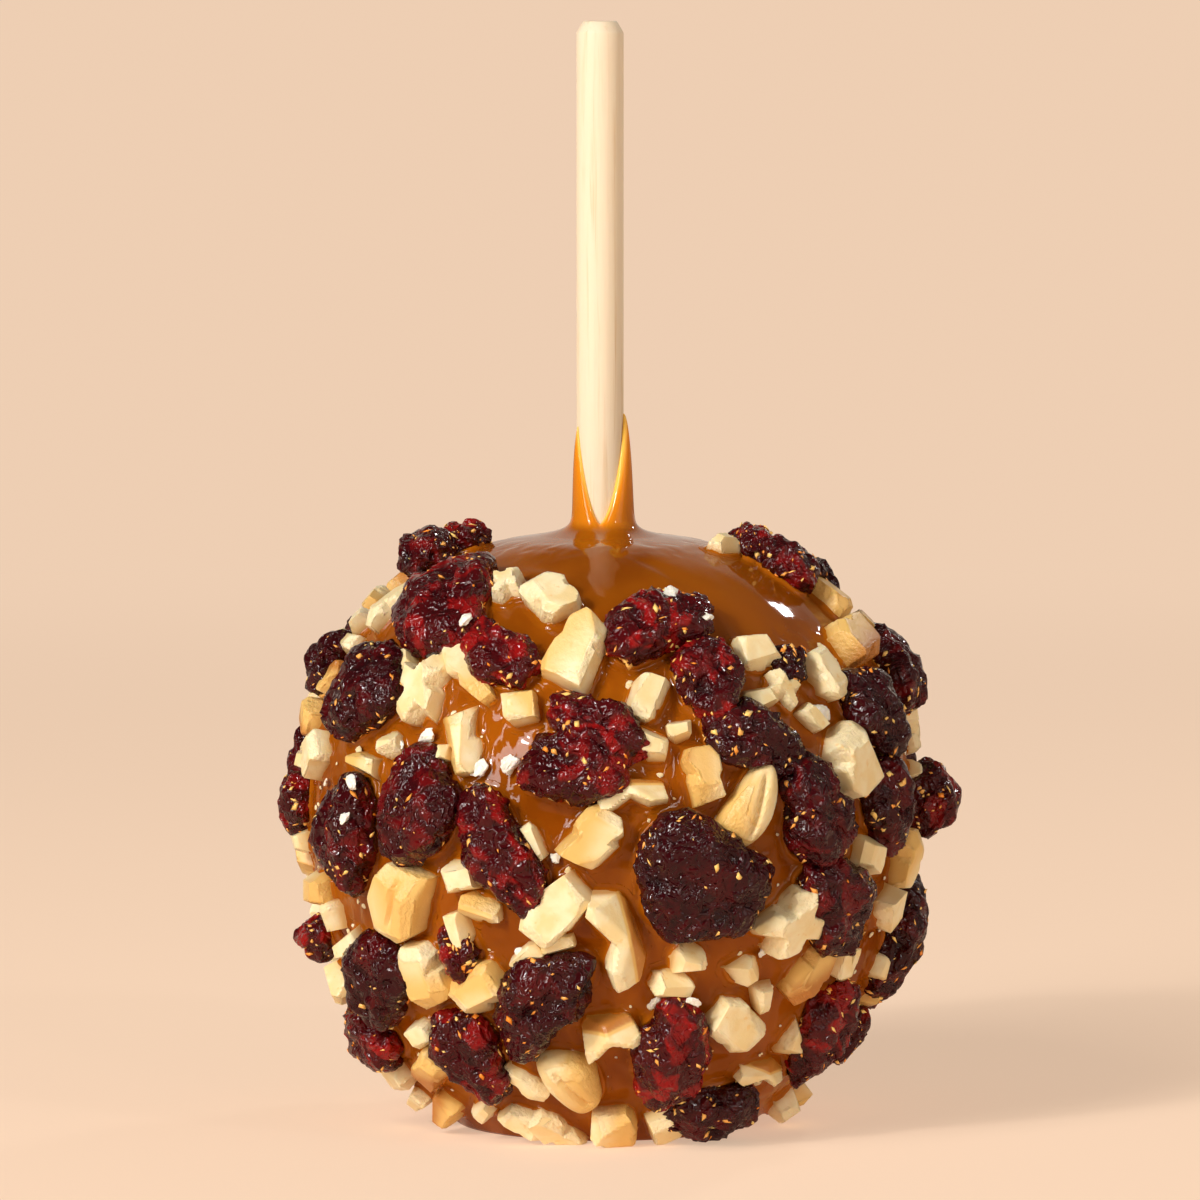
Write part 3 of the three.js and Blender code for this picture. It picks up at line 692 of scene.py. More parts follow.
class Finish:
    """A procedural material under construction, with a short call for each kind of node."""

    def __init__(self, name: str) -> None:
        """Start a material with one Principled shader.

        Args:
            name: The material's name.
        """
        self.material = bpy.data.materials.new(name)
        self.material.use_nodes = True
        self.tree = self.material.node_tree
        self.shader = self.tree.nodes["Principled BSDF"]
        self.place = self.add("ShaderNodeTexCoord").outputs["Object"]

    @classmethod
    def on_tree(cls, tree: bpy.types.NodeTree) -> Finish:
        """Return the same calls for a node tree that isn't a material's."""
        finish = cls.__new__(cls)
        finish.tree = tree
        return finish

    def add(self, kind: str, inputs: dict | None = None, **settings: object) -> bpy.types.Node:
        """Add a node.

        Args:
            kind: The node's type.
            inputs: Socket name or number to a value or to another node's output.
            **settings: The node's own properties.

        Returns:
            The node.
        """
        node = self.tree.nodes.new(kind)
        for key, value in settings.items():
            setattr(node, key, value)
        for key, value in (inputs or {}).items():
            self.feed(node.inputs[key], value)
        return node

    def feed(self, socket: bpy.types.NodeSocket, value: object) -> None:
        """Link a socket to an output, or set its value."""
        if isinstance(value, bpy.types.NodeSocket):
            self.tree.links.new(value, socket)
        elif isinstance(value, tuple) and len(value) == 3 and socket.type == "RGBA":
            socket.default_value = (*value, 1.0)
        else:
            socket.default_value = value

    def surface(self, **values: object) -> None:
        """Set the shader's sockets, named with underscores for spaces."""
        for key, value in values.items():
            self.feed(self.shader.inputs[key.replace("_", " ")], value)

    def attribute(self, name: str) -> bpy.types.NodeSocket:
        """Return a value that the mesh carries at each vertex."""
        return self.add("ShaderNodeAttribute", attribute_name=name).outputs["Fac"]

    def math(self, operation: str, first: object, second: object = 0.0) -> bpy.types.NodeSocket:
        """Return the result of a sum on one or two values."""
        node = self.add("ShaderNodeMath", {0: first, 1: second}, operation=operation)
        return node.outputs[0]

    def stretched(self, scale: tuple[float, float, float]) -> bpy.types.NodeSocket:
        """Return the place on the object, scaled along each axis."""
        return self.add("ShaderNodeMapping", {"Vector": self.place, "Scale": scale}).outputs[0]

    def noise(self, size: float, detail: float = 3.0, rough: float = 0.5, warp: float = 0.0,
              place: bpy.types.NodeSocket | None = None) -> bpy.types.NodeSocket:
        """Return cloudy noise from 0 to 1.

        Args:
            size: Distance between its lumps, in millimetres.
            detail: Octaves of finer noise.
            rough: Strength of the finer noise.
            warp: How far its lumps are bent.
            place: Where it is read, or None for the place on the object.

        Returns:
            The noise's factor.
        """
        sockets = {"Vector": place or self.place, "Scale": 1 / (size * MM), "Detail": detail,
                   "Roughness": rough, "Distortion": warp}
        return self.add("ShaderNodeTexNoise", sockets).outputs["Fac"]

    def cells(self, size: float, feature: str = "DISTANCE_TO_EDGE",
              place: bpy.types.NodeSocket | None = None) -> bpy.types.NodeSocket:
        """Return the distance to the edge or middle of cells of a size in millimetres."""
        node = self.add("ShaderNodeTexVoronoi", feature=feature)
        self.feed(node.inputs["Vector"], place or self.place)
        self.feed(node.inputs["Scale"], 1 / (size * MM))
        return node.outputs["Distance"]

    def band(self, value: object, low: float, high: float) -> bpy.types.NodeSocket:
        """Return 0 below low, 1 above high and a smooth blend between them."""
        sockets = {"Value": value, "From Min": low, "From Max": high}
        return self.add("ShaderNodeMapRange", sockets, interpolation_type="SMOOTHSTEP").outputs[0]

    def blend(self, share: object, first: object, second: object) -> bpy.types.NodeSocket:
        """Return a colour a share of the way from the first to the second."""
        node = self.add("ShaderNodeMix", data_type="RGBA")
        sockets = [one for one in node.inputs if one.enabled]
        for socket, value in zip(sockets, (share, first, second)):
            self.feed(socket, value)
        return next(one for one in node.outputs if one.enabled)

    def relief(self, height: object, depth: float,
               below: bpy.types.NodeSocket | None = None) -> bpy.types.NodeSocket:
        """Return a normal bent by a height from 0 to 1 that stands for a depth in millimetres."""
        sockets = {"Height": height, "Distance": depth * MM, "Strength": 1.0}
        node = self.add("ShaderNodeBump", sockets)
        if below is not None:
            self.feed(node.inputs["Normal"], below)
        return node.outputs[0]


# ------------------------------------------------------------------ the caramel


@dataclass(frozen=True)
class CaramelFinish:
    """Clear brown caramel: glossy, more orange where it is thinner, with a painted glow of light
    through the lip of the collar.
    """

    deep: Color = (0.232, 0.050, 0.0010)
    body: Color = (0.340, 0.085, 0.0025)
    thinness_and_lip_glow: Color = (0.85, 0.27, 0.010)
    # Painted glow of light through the collar's lip. The lip takes this colour where its values
    # pass 0.9.
    edge: Color = (1.0, 0.58, 0.10)
    roughness: float = 0.06
    # A field of fine sugar grains on the right shoulder, in millimetres.
    grain_place: tuple[float, float, float] = (25.5, -19.5, 68.5)
    grain_reach: float = 7.5

    def material(self) -> bpy.types.Material:
        """Build the material.

        Returns:
            The caramel, with cloudy depth, an orange tint by the mesh's thinness, a painted glow of
            light through the collar's lip, and a field of fine grains on one shoulder.
        """
        finish = Finish("caramel")
        cloud = finish.band(finish.noise(14, 2, 0.45, 0.4), 0.32, 0.68)
        color = finish.blend(cloud, self.deep, self.body)
        thinness_and_lip_glow = finish.attribute("thinness_and_lip_glow")
        color = finish.blend(finish.band(thinness_and_lip_glow, 0.0, 1.0), color, self.thinness_and_lip_glow)
        # Painted glow: along the collar's lip the values pass 0.9 and the colour turns pale
        # yellow-orange, standing for light through the lip.
        color = finish.blend(finish.band(thinness_and_lip_glow, 0.9, 1.7), color, self.edge)
        away = finish.add("ShaderNodeVectorMath", operation="DISTANCE")
        finish.feed(away.inputs[0], finish.place)
        finish.feed(away.inputs[1], tuple(one * MM for one in self.grain_place))
        near = finish.band(away.outputs["Value"], self.grain_reach * MM, 0.0)
        grains = finish.math("MULTIPLY", finish.band(finish.cells(0.85, "F1"), 0.16, 0.02), near)
        soft = finish.relief(finish.noise(5.0, 1, 0.4), 0.025)
        finish.surface(
            Base_Color=color, Roughness=self.roughness, IOR=1.46, Specular_IOR_Level=0.28,
            Subsurface_Weight=0.1, Subsurface_Radius=(1.0, 0.3, 0.05), Subsurface_Scale=2.0 * MM,
            Normal=finish.relief(grains, 0.12, soft),
        )
        return finish.material


@dataclass
class CaramelCoat:
    """The caramel: flat foot, side, bare crown, and the tongues drawn up the stick."""

    form: AppleForm
    stick_radius: float
    hole_bottom: float
    toppings: list[Topping]
    berries: list[Topping]
    columns: int = 400
    foot_rows: int = 6
    body_rows: int = 178
    collar_rows: int = 52
    flare_radius: float = 8.5
    front_rise: float = 1.3
    back_rise: float = 5.3
    left_tongue: float = 14.0
    right_tongue: float = 15.7
    left_tip: float = 66.0
    right_tip: float = 80.0
    tongue_power: float = 1.48
    tip_rounding: float = 0.55
    left_wall: float = 0.6
    right_wall: float = 1.5
    tip_wall: float = 0.55
    flare_height: float = 0.4
    flare_power: float = 0.85
    meniscus_height: float = 0.15
    meniscus_reach: float = 1.3
    meniscus_search: float = 15.0
    berry_waist: float = 0.72
    lump_place: tuple[float, float, float] = (6.6, 2.5, 79.0)
    lump_height: float = 0.9
    lump_reach: float = 1.4
    outline_turns: int = 720
    rim_spacing: float = 0.6
    # The rim's section: distance out from the topping's foot, and height above the caramel.
    rim_profile: tuple[tuple[float, float], ...] = (
        (-0.5, 0.5), (0.0, 0.44), (0.07, 0.31), (0.15, 0.2), (0.26, 0.115), (0.4, 0.058),
        (0.58, 0.022), (0.8, 0.002), (1.0, -0.012), (1.0, -0.8), (-0.5, -0.8),
    )
    # The height of the slow wave on the crown and among the toppings.
    slow_wave: tuple[float, float] = (0.12, 0.42)
    # Latitudes in degrees, between which the crown's calm caramel turns uneven, and the ring's.
    smooth_from: float = 44.0
    rough_below: float = 30.0
    ring_latitude: float = 69.0
    # The waves pushed up among the toppings: height, distance between crests, and seed.
    waves: tuple[tuple[float, float, int], ...] = ((0.2, 8, 5), (0.36, 4.8, 7), (0.13, 2.4, 9))
    finish: CaramelFinish = CaramelFinish()

    def rise(self, azimuth: Array) -> Array:
        """Work out how far the caramel stands up the stick above the crown.

        On each side one curve climbs from the notch at the front and one from the back, as a
        power of the share of the way to the tongue's tip. The rise is their smooth minimum.

        Args:
            azimuth: Azimuths in radians.

        Returns:
            Heights in millimetres.
        """
        turned = np.degrees(np.arctan2(np.sin(azimuth), np.cos(azimuth)))
        tongue = np.where(turned > 0, self.right_tongue, self.left_tongue) + self.tip_rounding
        tip = np.where(turned > 0, self.right_tip, self.left_tip)
        from_front = np.abs(turned) / tip
        from_back = (180 - np.abs(turned)) / (180 - tip)
        front = self.front_rise + (tongue - self.front_rise) * from_front**self.tongue_power
        back = self.back_rise + (tongue - self.back_rise) * from_back**self.tongue_power
        soft = self.tip_rounding
        return -soft * np.log(np.exp(-front / soft) + np.exp(-back / soft))

    def collar(self, azimuth: Array) -> tuple[Array, Array, Array]:
        """Work out the caramel round the stick, from the crown to the lip.

        The wall falls from the flare to its own thickness as exp(-(height / flare)^power), and
        its lip is rounded by sqrt(1 - (height / rise)^k), with k larger on the tall tongues.

        Args:
            azimuth: The azimuths of the columns.

        Returns:
            The points, shape (rows, columns, 3), their heights and their share of the rise.
        """
        rise = self.rise(azimuth)[None, :]
        step = np.linspace(0, 1, self.collar_rows)[:, None]
        share = 0.5 - 0.5 * np.cos(math.pi * step)
        height = rise * share
        side = 0.5 + 0.5 * np.sin(azimuth)[None, :]
        thickness = between((self.left_wall, self.right_wall), side)
        thickness = thickness * between((1.0, self.tip_wall), height / self.right_tongue)
        wall = self.stick_radius + thickness
        fall = np.exp(-((height / self.flare_height) ** self.flare_power))
        outer = wall + (self.flare_radius - wall) * fall
        roundness = 2.2 + 0.22 * rise
        radius = self.stick_radius + (outer - self.stick_radius) * np.sqrt(1 - share**roundness)
        z = self.form.crown_z(radius) + height
        x = radius * np.sin(azimuth)[None, :]
        y = -radius * np.cos(azimuth)[None, :]
        return np.stack([x, y, z], axis=-1), height, share

    def surface_profile(self, azimuth: Array) -> tuple[Array, Array]:
        """Work out the coat from the foot to the flare, with its swells and menisci.

        Args:
            azimuth: The azimuths of the columns.

        Returns:
            The points, shape (rows, columns, 3), and the thinness of the menisci.
        """
        flare_z = self.form.crown_z(self.flare_radius) - self.form.middle_z
        top = math.atan2(flare_z, self.flare_radius)
        latitude = np.linspace(self.form.foot_latitude, top, self.body_rows)
        around, up = np.meshgrid(azimuth, latitude)
        points = self.form.point(around, up)
        outwards = self.form.axes(around, up)[2]
        upright = smooth_step(math.radians(58), top, up)
        points[..., :2] /= (1 + upright * (self.form.lean(around) - 1))[..., None]
        climb = self.menisci(points)
        lift = self.swell(points, around, up) * (1 - upright**6) + self.meniscus_height * climb
        points = points + outwards * lift[..., None]
        points[..., 2] = np.maximum(points[..., 2], 0)
        return points, climb

    def swell(self, points: Array, around: Array, up: Array) -> Array:
        """Work out how far the caramel stands above the apple's even form.

        Ripples of four sizes are added. The shorter ones lie only among the toppings, where
        the caramel was pushed about, and the crown is nearly even but for a low ring round the
        stick.

        Args:
            points: Places on the even form, shape (..., 3).
            around: Their azimuths.
            up: Their latitudes.

        Returns:
            Heights in millimetres.
        """
        degrees = np.degrees(up)
        among = smooth_step(self.smooth_from, self.rough_below, degrees)
        height = between(self.slow_wave, among) * ripple(points, 17, 3)
        for crest, wavelength, seed in self.waves:
            height += among * crest * ripple(points, wavelength, seed)
        ring = np.exp(-(((degrees - self.ring_latitude) / 6) ** 2))
        height += ring * (0.16 + 0.1 * np.cos(2 * around) + 0.12 * ripple(points, 4.5, 21))
        from_lump = np.linalg.norm(points - np.array(self.lump_place), axis=-1)
        height += self.lump_height * np.exp(-((from_lump / self.lump_reach) ** 2))
        return height * smooth_step(-62, -50, degrees)

    def foot_line(self, topping: Topping) -> Array:
        """Work out the outline of a topping where it meets the caramel.

        Args:
            topping: A berry, which has a height, or a piece of nut.

        Returns:
            Places along and across the topping, evenly spaced, shape (count, 2).
        """
        turn = np.linspace(0, FULL_TURN, self.outline_turns, endpoint=False)
        if topping.height:
            waist = np.full(self.outline_turns, self.berry_waist)
            flat = Cranberry(self.form, topping).blank(waist, turn)[:, :2]
        else:
            reach = NutPiece(self.form, topping).outline(turn)
            flat = np.stack([reach * np.cos(turn), reach * np.sin(turn)], axis=1)
        closed = np.concatenate([flat, flat[:1]])
        run = np.concatenate([[0], np.cumsum(np.linalg.norm(np.diff(closed, axis=0), axis=1))])
        even = np.linspace(0, run[-1], max(int(run[-1] / self.rim_spacing), 12) + 1)[:-1]
        line = np.stack([np.interp(even, run, closed[:, axis]) for axis in (0, 1)], axis=1)
        return (np.roll(line, 1, axis=0) + 2 * line + np.roll(line, -1, axis=0)) / 4

    def rim(self, topping: Topping) -> Surface:
        """Build the caramel that climbs against one topping: a closed hollow-sided ring.

        Args:
            topping: The topping.

        Returns:
            The ring, with how thinly its caramel lies.
        """
        line = self.foot_line(topping)
        run = np.roll(line, -1, axis=0) - np.roll(line, 1, axis=0)
        away = np.stack([run[:, 1], -run[:, 0]], axis=1)
        away /= np.linalg.norm(away, axis=1, keepdims=True)
        offset, height = np.array(self.rim_profile).T
        flat = line[None, :, :] + offset[:, None, None] * away[None, :, :]
        around, up = self.form.spread(topping, flat)
        points = self.form.point(around, up)
        outwards = self.form.axes(around, up)[2]
        uneven = 1 + 0.5 * ripple(points, 5, topping.number + 11)
        lift = self.swell(points, around, up) + self.meniscus_height * self.menisci(points)
        lift += np.maximum(height, 0)[:, None] * uneven + np.minimum(height, 0)[:, None]
        points = points + outwards * lift[..., None]
        points[..., 2] = np.maximum(points[..., 2], LOWEST)
        rows, columns = points.shape[:2]
        quads = grid_quads(rows, columns, wrap=True)
        last = np.arange(columns) + (rows - 1) * columns
        first = np.arange(columns)
        closing = np.stack([last, first, np.roll(first, -1), np.roll(last, -1)], axis=1)
        thinness_and_lip_glow = np.repeat(0.12 + 0.35 * np.clip(height, 0, 1)[:, None], columns, axis=1)
        return Surface(points.reshape(-1, 3), np.concatenate([quads, closing]),
                       values={"thinness_and_lip_glow": thinness_and_lip_glow.ravel()})

    @cached_property
    def feet(self) -> tuple[Array, Array, Array]:
        """Return where all the toppings stand, and the directions east and north there."""
        toppings = self.toppings + self.berries
        azimuth = np.array([topping.azimuth for topping in toppings])
        latitude = np.array([topping.latitude for topping in toppings])
        east, north, _ = self.form.axes(azimuth, latitude)
        return self.form.point(azimuth, latitude), east, north

    def menisci(self, points: Array) -> Array:
        """Work out how far the caramel climbs against the toppings, from 0 to 1.

        Each topping's foot is a rectangle, or for a berry an ellipse. The climb falls with
        the distance to it as exp(-distance / reach), and the highest climb counts.

        Args:
            points: Places on the caramel, shape (rows, columns, 3).

        Returns:
            The climb, shape (rows, columns).
        """
        flat = points.reshape(-1, 3)
        climb = np.zeros(len(flat))
        toppings = self.toppings + self.berries
        middles, easts, norths = self.feet
        beyond = self.meniscus_search
        close = (middles > flat.min(axis=0) - beyond) & (middles < flat.max(axis=0) + beyond)
        for order in np.flatnonzero(close.all(axis=1)):
            topping, middle = toppings[order], middles[order]
            near = np.flatnonzero(np.abs(flat - middle).max(axis=1) < topping.length / 2 + 5)
            away = flat[near] - middle
            eastwards, northwards = away @ easts[order], away @ norths[order]
            along = eastwards * math.cos(topping.turn) + northwards * math.sin(topping.turn)
            across = northwards * math.cos(topping.turn) - eastwards * math.sin(topping.turn)
            if topping.height:
                reach = np.hypot(along / (topping.length / 2), across / (topping.width / 2))
                distance = (reach - 0.97) * topping.width / 2
            else:
                sides = np.array([topping.length, topping.width]) / 2
                out = np.abs([along, across]).T - sides + 0.3
                inside = np.minimum(out.max(axis=1), 0)
                distance = np.linalg.norm(np.maximum(out, 0), axis=1) + inside
            here = np.exp(-np.maximum(distance, 0) / self.meniscus_reach)
            climb[near] = np.maximum(climb[near], here)
        return climb.reshape(points.shape[:2])

    def surface(self) -> Surface:
        """Build the closed coat.

        Rows run from the middle of the foot over the side and the crown to the lip, and down
        the stick's hole to its middle.

        Returns:
            The surface, with how thinly the caramel lies at each vertex and the painted glow along
            the collar's lip.
        """
        azimuth = np.linspace(0, FULL_TURN, self.columns, endpoint=False)
        body, climb = self.surface_profile(azimuth)
        collar, height, share = self.collar(azimuth)
        foot = body[:1] * np.linspace(0, 1, self.foot_rows + 1)[1:-1, None, None]
        foot[..., 2] = 0
        inner = np.repeat(collar[-1:], 2, axis=0)
        inner[..., 0] = (self.stick_radius + 0.01) * np.sin(azimuth)
        inner[..., 1] = -(self.stick_radius + 0.01) * np.cos(azimuth)
        inner[0, :, 2] = collar[-1, :, 2] - 0.4
        inner[1, :, 2] = self.hole_bottom
        rows = np.concatenate([foot, body, collar[1:], inner])
        # Orange of the thinner caramel up the collar. The share**8 term lifts the lip past 0.9,
        # which paints a glow of light through the lip.
        collar_thinness_and_lip_glow = smooth_step(-0.4, 1.8, height) * (0.5 + 0.35 * share + 0.9 * share**8)
        thinness_and_lip_glow = np.zeros(rows.shape[:2])
        thinness_and_lip_glow[len(foot):len(foot) + len(body)] = 0.12 * climb
        thinness_and_lip_glow[len(foot) + len(body):-2] = collar_thinness_and_lip_glow[1:]
        values = {"thinness_and_lip_glow": np.append(thinness_and_lip_glow.ravel(), [0.0, 0.0])}
        return Surface(*turned(rows, 0.0, self.hole_bottom), values)

    def build(self) -> list[bpy.types.Object]:
        """Make the coat and the rims round its toppings, and return them."""
        skin = self.finish.material()
        rims = Surface.joined([self.rim(topping) for topping in self.toppings + self.berries])
        pieces = [self.surface().as_object("caramel_coat"), rims.as_object("caramel_rims")]
        for piece in pieces:
            piece.data.materials.append(skin)
        return pieces


# ------------------------------------------------------------------ the cranberries


@dataclass(frozen=True)
class CranberryFinish:
    """Moist dried cranberry, glossy all over: plum in its hollows by painted shade, wine and ruby
    on its ridges by a painted glow of light through the skin, and ruby in clouds of its own.
    """

    plum: Color = (0.0060, 0.0009, 0.0020)
    wine: Color = (0.029, 0.0017, 0.0032)
    ruby: Color = (0.27, 0.0055, 0.0055)
    roughness: float = 0.06
    bend: float = 2.4
    broad_wrinkle: float = 2.1
    broad_relief: float = 0.27
    fine_wrinkle: float = 1.0
    fine_relief: float = 0.12

    def material(self) -> bpy.types.Material:
        """Build the material.

        Returns:
            The dried fruit's skin. Its ridges are the borders of bent cells of two sizes. Its
            colour goes from plum to ruby by clouds and by the berry itself. The folds add painted
            shade in the hollows and a painted glow of light through the skin on the ridges.
        """
        finish = Finish("dried_cranberry")
        drift = finish.add("ShaderNodeTexNoise", {"Vector": finish.place, "Scale": 1 / (2.6 * MM),
                                                  "Detail": 2.0}).outputs["Color"]
        centred = finish.add("ShaderNodeVectorMath", {0: drift, 1: (0.5, 0.5, 0.5)},
                             operation="SUBTRACT")
        shift = finish.add("ShaderNodeVectorMath", {0: centred.outputs[0]}, operation="SCALE")
        shift.inputs["Scale"].default_value = self.bend * MM
        bent = finish.add("ShaderNodeVectorMath", {0: finish.place, 1: shift.outputs[0]}).outputs[0]
        broad = finish.band(finish.cells(self.broad_wrinkle, place=bent), 0.3, 0.0)
        fine = finish.band(finish.cells(self.fine_wrinkle, place=bent), 0.26, 0.0)
        crinkled = finish.band(finish.noise(3.2, 1, 0.4), 0.36, 0.52)
        cloud = finish.band(finish.noise(4.2, 2, 0.5, 0.8), 0.48, 0.62)
        fold = finish.attribute("fold")
        ripe = finish.attribute("ripe")
        # Painted shade: the hollows of the folds and the insides of the wrinkles darken to plum,
        # and the ridges lighten to wine.
        shade = finish.math("ADD", fold, finish.math("MULTIPLY", broad, 0.25))
        color = finish.blend(finish.band(shade, 0.2, 0.9), self.plum, self.wine)
        # Random ruby clouds, plus a painted glow of light through the skin on the ridges.
        lit = finish.math("ADD", cloud, finish.math("MULTIPLY", fold, 0.2))
        color = finish.blend(finish.math("MULTIPLY", lit, ripe), color, self.ruby)
        ridges = finish.relief(broad, self.broad_relief)
        crinkles = finish.math("MULTIPLY", fine, crinkled)
        finish.surface(
            Base_Color=color, Roughness=self.roughness, IOR=1.46, Specular_IOR_Level=0.42,
            Normal=finish.relief(crinkles, self.fine_relief, ridges),
        )
        return finish.material


@dataclass
class Cranberry:
    """One dried cranberry draped on the caramel: lobed, creased, puffed between its folds."""

    form: AppleForm
    berry: Topping
    steps: int = 60
    lowest_angle: float = 128.0
    gap: float = 0.3
    brim: float = 0.3
    sunk: float = 0.9
    lobes: tuple[tuple[int, float], ...] = ((2, 0.08), (3, 0.09), (5, 0.05))
    # The darkest berries, by their numbers.
    dark: tuple[int, ...] = (
        4, 5, 7, 8, 16, 17, 18, 19, 20, 23, 24, 25, 26, 28, 29, 32, 34, 38, 41, 43, 46, 47, 51, 55,
    )
    dark_ripeness: tuple[float, float] = (0.0, 0.4)
    ripeness: tuple[float, float] = (0.5, 1.0)
    crease_depth: float = 0.3
    crease_width: float = 0.3
    crease_shift: float = 0.3
    swell: float = 0.6
    large_fold: float = 3.2
    large_depth: float = 0.72
    small_fold: float = 1.6
    small_depth: float = 0.4
    groove_share: float = 0.34
    fold_bend: float = 1.1
    fold_sway: float = 5.0

    def blank(self, reach: Array, turn: Array) -> Array:
        """Work out the smooth berry before its folds, lying flat.

        A half ball is stretched to a lobed outline, and its lower part is squeezed flat. The
        outline is 1 plus cosines of 2, 3 and 5 times the turn.

        Args:
            reach: The reach of each vertex from the top, from 0 to 1.
            turn: The turn of each vertex round the top.

        Returns:
            Places along, across and above the caramel, shape (..., 3).
        """
        number = self.berry.number
        fall = reach * math.radians(self.lowest_angle)
        x, y, z = np.sin(fall) * np.cos(turn), np.sin(fall) * np.sin(turn), np.cos(fall)
        outline = np.ones_like(turn)
        for lobe, (count, depth) in enumerate(self.lobes):
            outline += depth * np.cos(count * turn + FULL_TURN * chance(number, Draw.LOBES + lobe))
        crease_side = self.crease_shift * (2 * chance(number, Draw.CREASE_SIDE) - 1)
        crease = np.exp(-(((y - crease_side) / self.crease_width) ** 2))
        upper = self.brim + (1 - self.brim) * z * (1 - self.crease_depth * crease)
        height = self.berry.height
        lower = self.brim * height + (self.brim * height + self.sunk) * z * 1.2
        rise = np.where(z < 0, lower, upper * height)
        along = x * outline * self.berry.length / 2
        across = y * outline * self.berry.width / 2
        return np.stack([along, across, rise], axis=-1)

    def folds(self, flat: Array) -> tuple[Array, Array]:
        """Work out the folds of the dried skin.

        Sharp ridges stand along the borders of cells of two sizes, stretched along the berry
        and bent by ripples. A slow ripple swells the whole.

        Args:
            flat: Places on the smooth berry, shape (..., 3).

        Returns:
            How far the skin stands out, and the same from 0 in the hollows to 1 on the ridges,
            which the skin's colour takes as painted shade and painted glow.
        """
        number = self.berry.number
        place = flat.reshape(-1, 3)
        shifts = [ripple(place, self.fold_sway, number + seed) for seed in (0, 40, 80)]
        bent = (place + self.fold_bend * np.stack(shifts, axis=1)) * np.array([0.7, 1.0, 1.0])
        span = np.array([self.berry.length * 0.35, self.berry.width / 2, self.berry.height * 0.85])
        levels = []
        for size, purpose in ((self.large_fold, Draw.FOLDS), (self.small_fold, Draw.FOLDS + 3)):
            count = int(5 + 7 * span[0] * span[1] / size**2)
            cells = seeded_directions(count, number, purpose)
            cells[:, 2] = np.abs(cells[:, 2])
            folds = cell_folds(bent, cells * span * 1.05, self.groove_share * size)
            levels.append(1 - folds)
        large, small = (level.reshape(flat.shape[:-1]) for level in levels)
        swell = ripple(flat, 6.5, number + 120)
        creased = self.large_depth * (large - 0.5) + self.small_depth * (small - 0.4)
        out = self.swell * swell + creased
        return out, np.clip(0.3 + 0.3 * swell + 0.45 * large + 0.3 * small, 0, 1)

    def draped(self, flat: Array) -> Array:
        """Lay places along, across and above the caramel on the apple.

        Args:
            flat: Places in the berry's own frame, shape (..., 3).

        Returns:
            Places on the apple: the same arcs east and north of the berry's middle, and the
            same height along the outward direction there.
        """
        azimuth, latitude = self.form.spread(self.berry, flat)
        outwards = self.form.axes(azimuth, latitude)[2]
        points = self.form.point(azimuth, latitude) + outwards * (self.gap + flat[..., 2:3])
        points[..., 2] = np.maximum(points[..., 2], self.gap)
        return points

    def surface(self) -> Surface:
        """Build the closed berry, with its folds along its own normals."""
        reach, turn, quads, fan = dome_grid(self.steps)
        flat = self.blank(reach, turn)
        normal = np.cross(np.gradient(flat, axis=0), np.gradient(flat, axis=1))
        normal /= np.linalg.norm(normal, axis=-1, keepdims=True) + 1e-9
        out, fold = self.folds(flat)
        edge = 1 - smooth_step(0.86, 1.0, reach)
        flat = flat + normal * (out * edge)[..., None]
        under = np.array([[0.0, 0.0, -self.sunk]])
        points = self.draped(np.concatenate([flat.reshape(-1, 3), under]))
        limits = self.dark_ripeness if self.berry.number in self.dark else self.ripeness
        ripe = np.full(len(points), between(limits, float(chance(self.berry.number, Draw.SHADE))))
        # fold carries painted shade for the hollows and a painted glow for the ridges into the
        # colour.
        return Surface(points, quads, fan, {"fold": np.append(fold.ravel(), 0.0), "ripe": ripe})


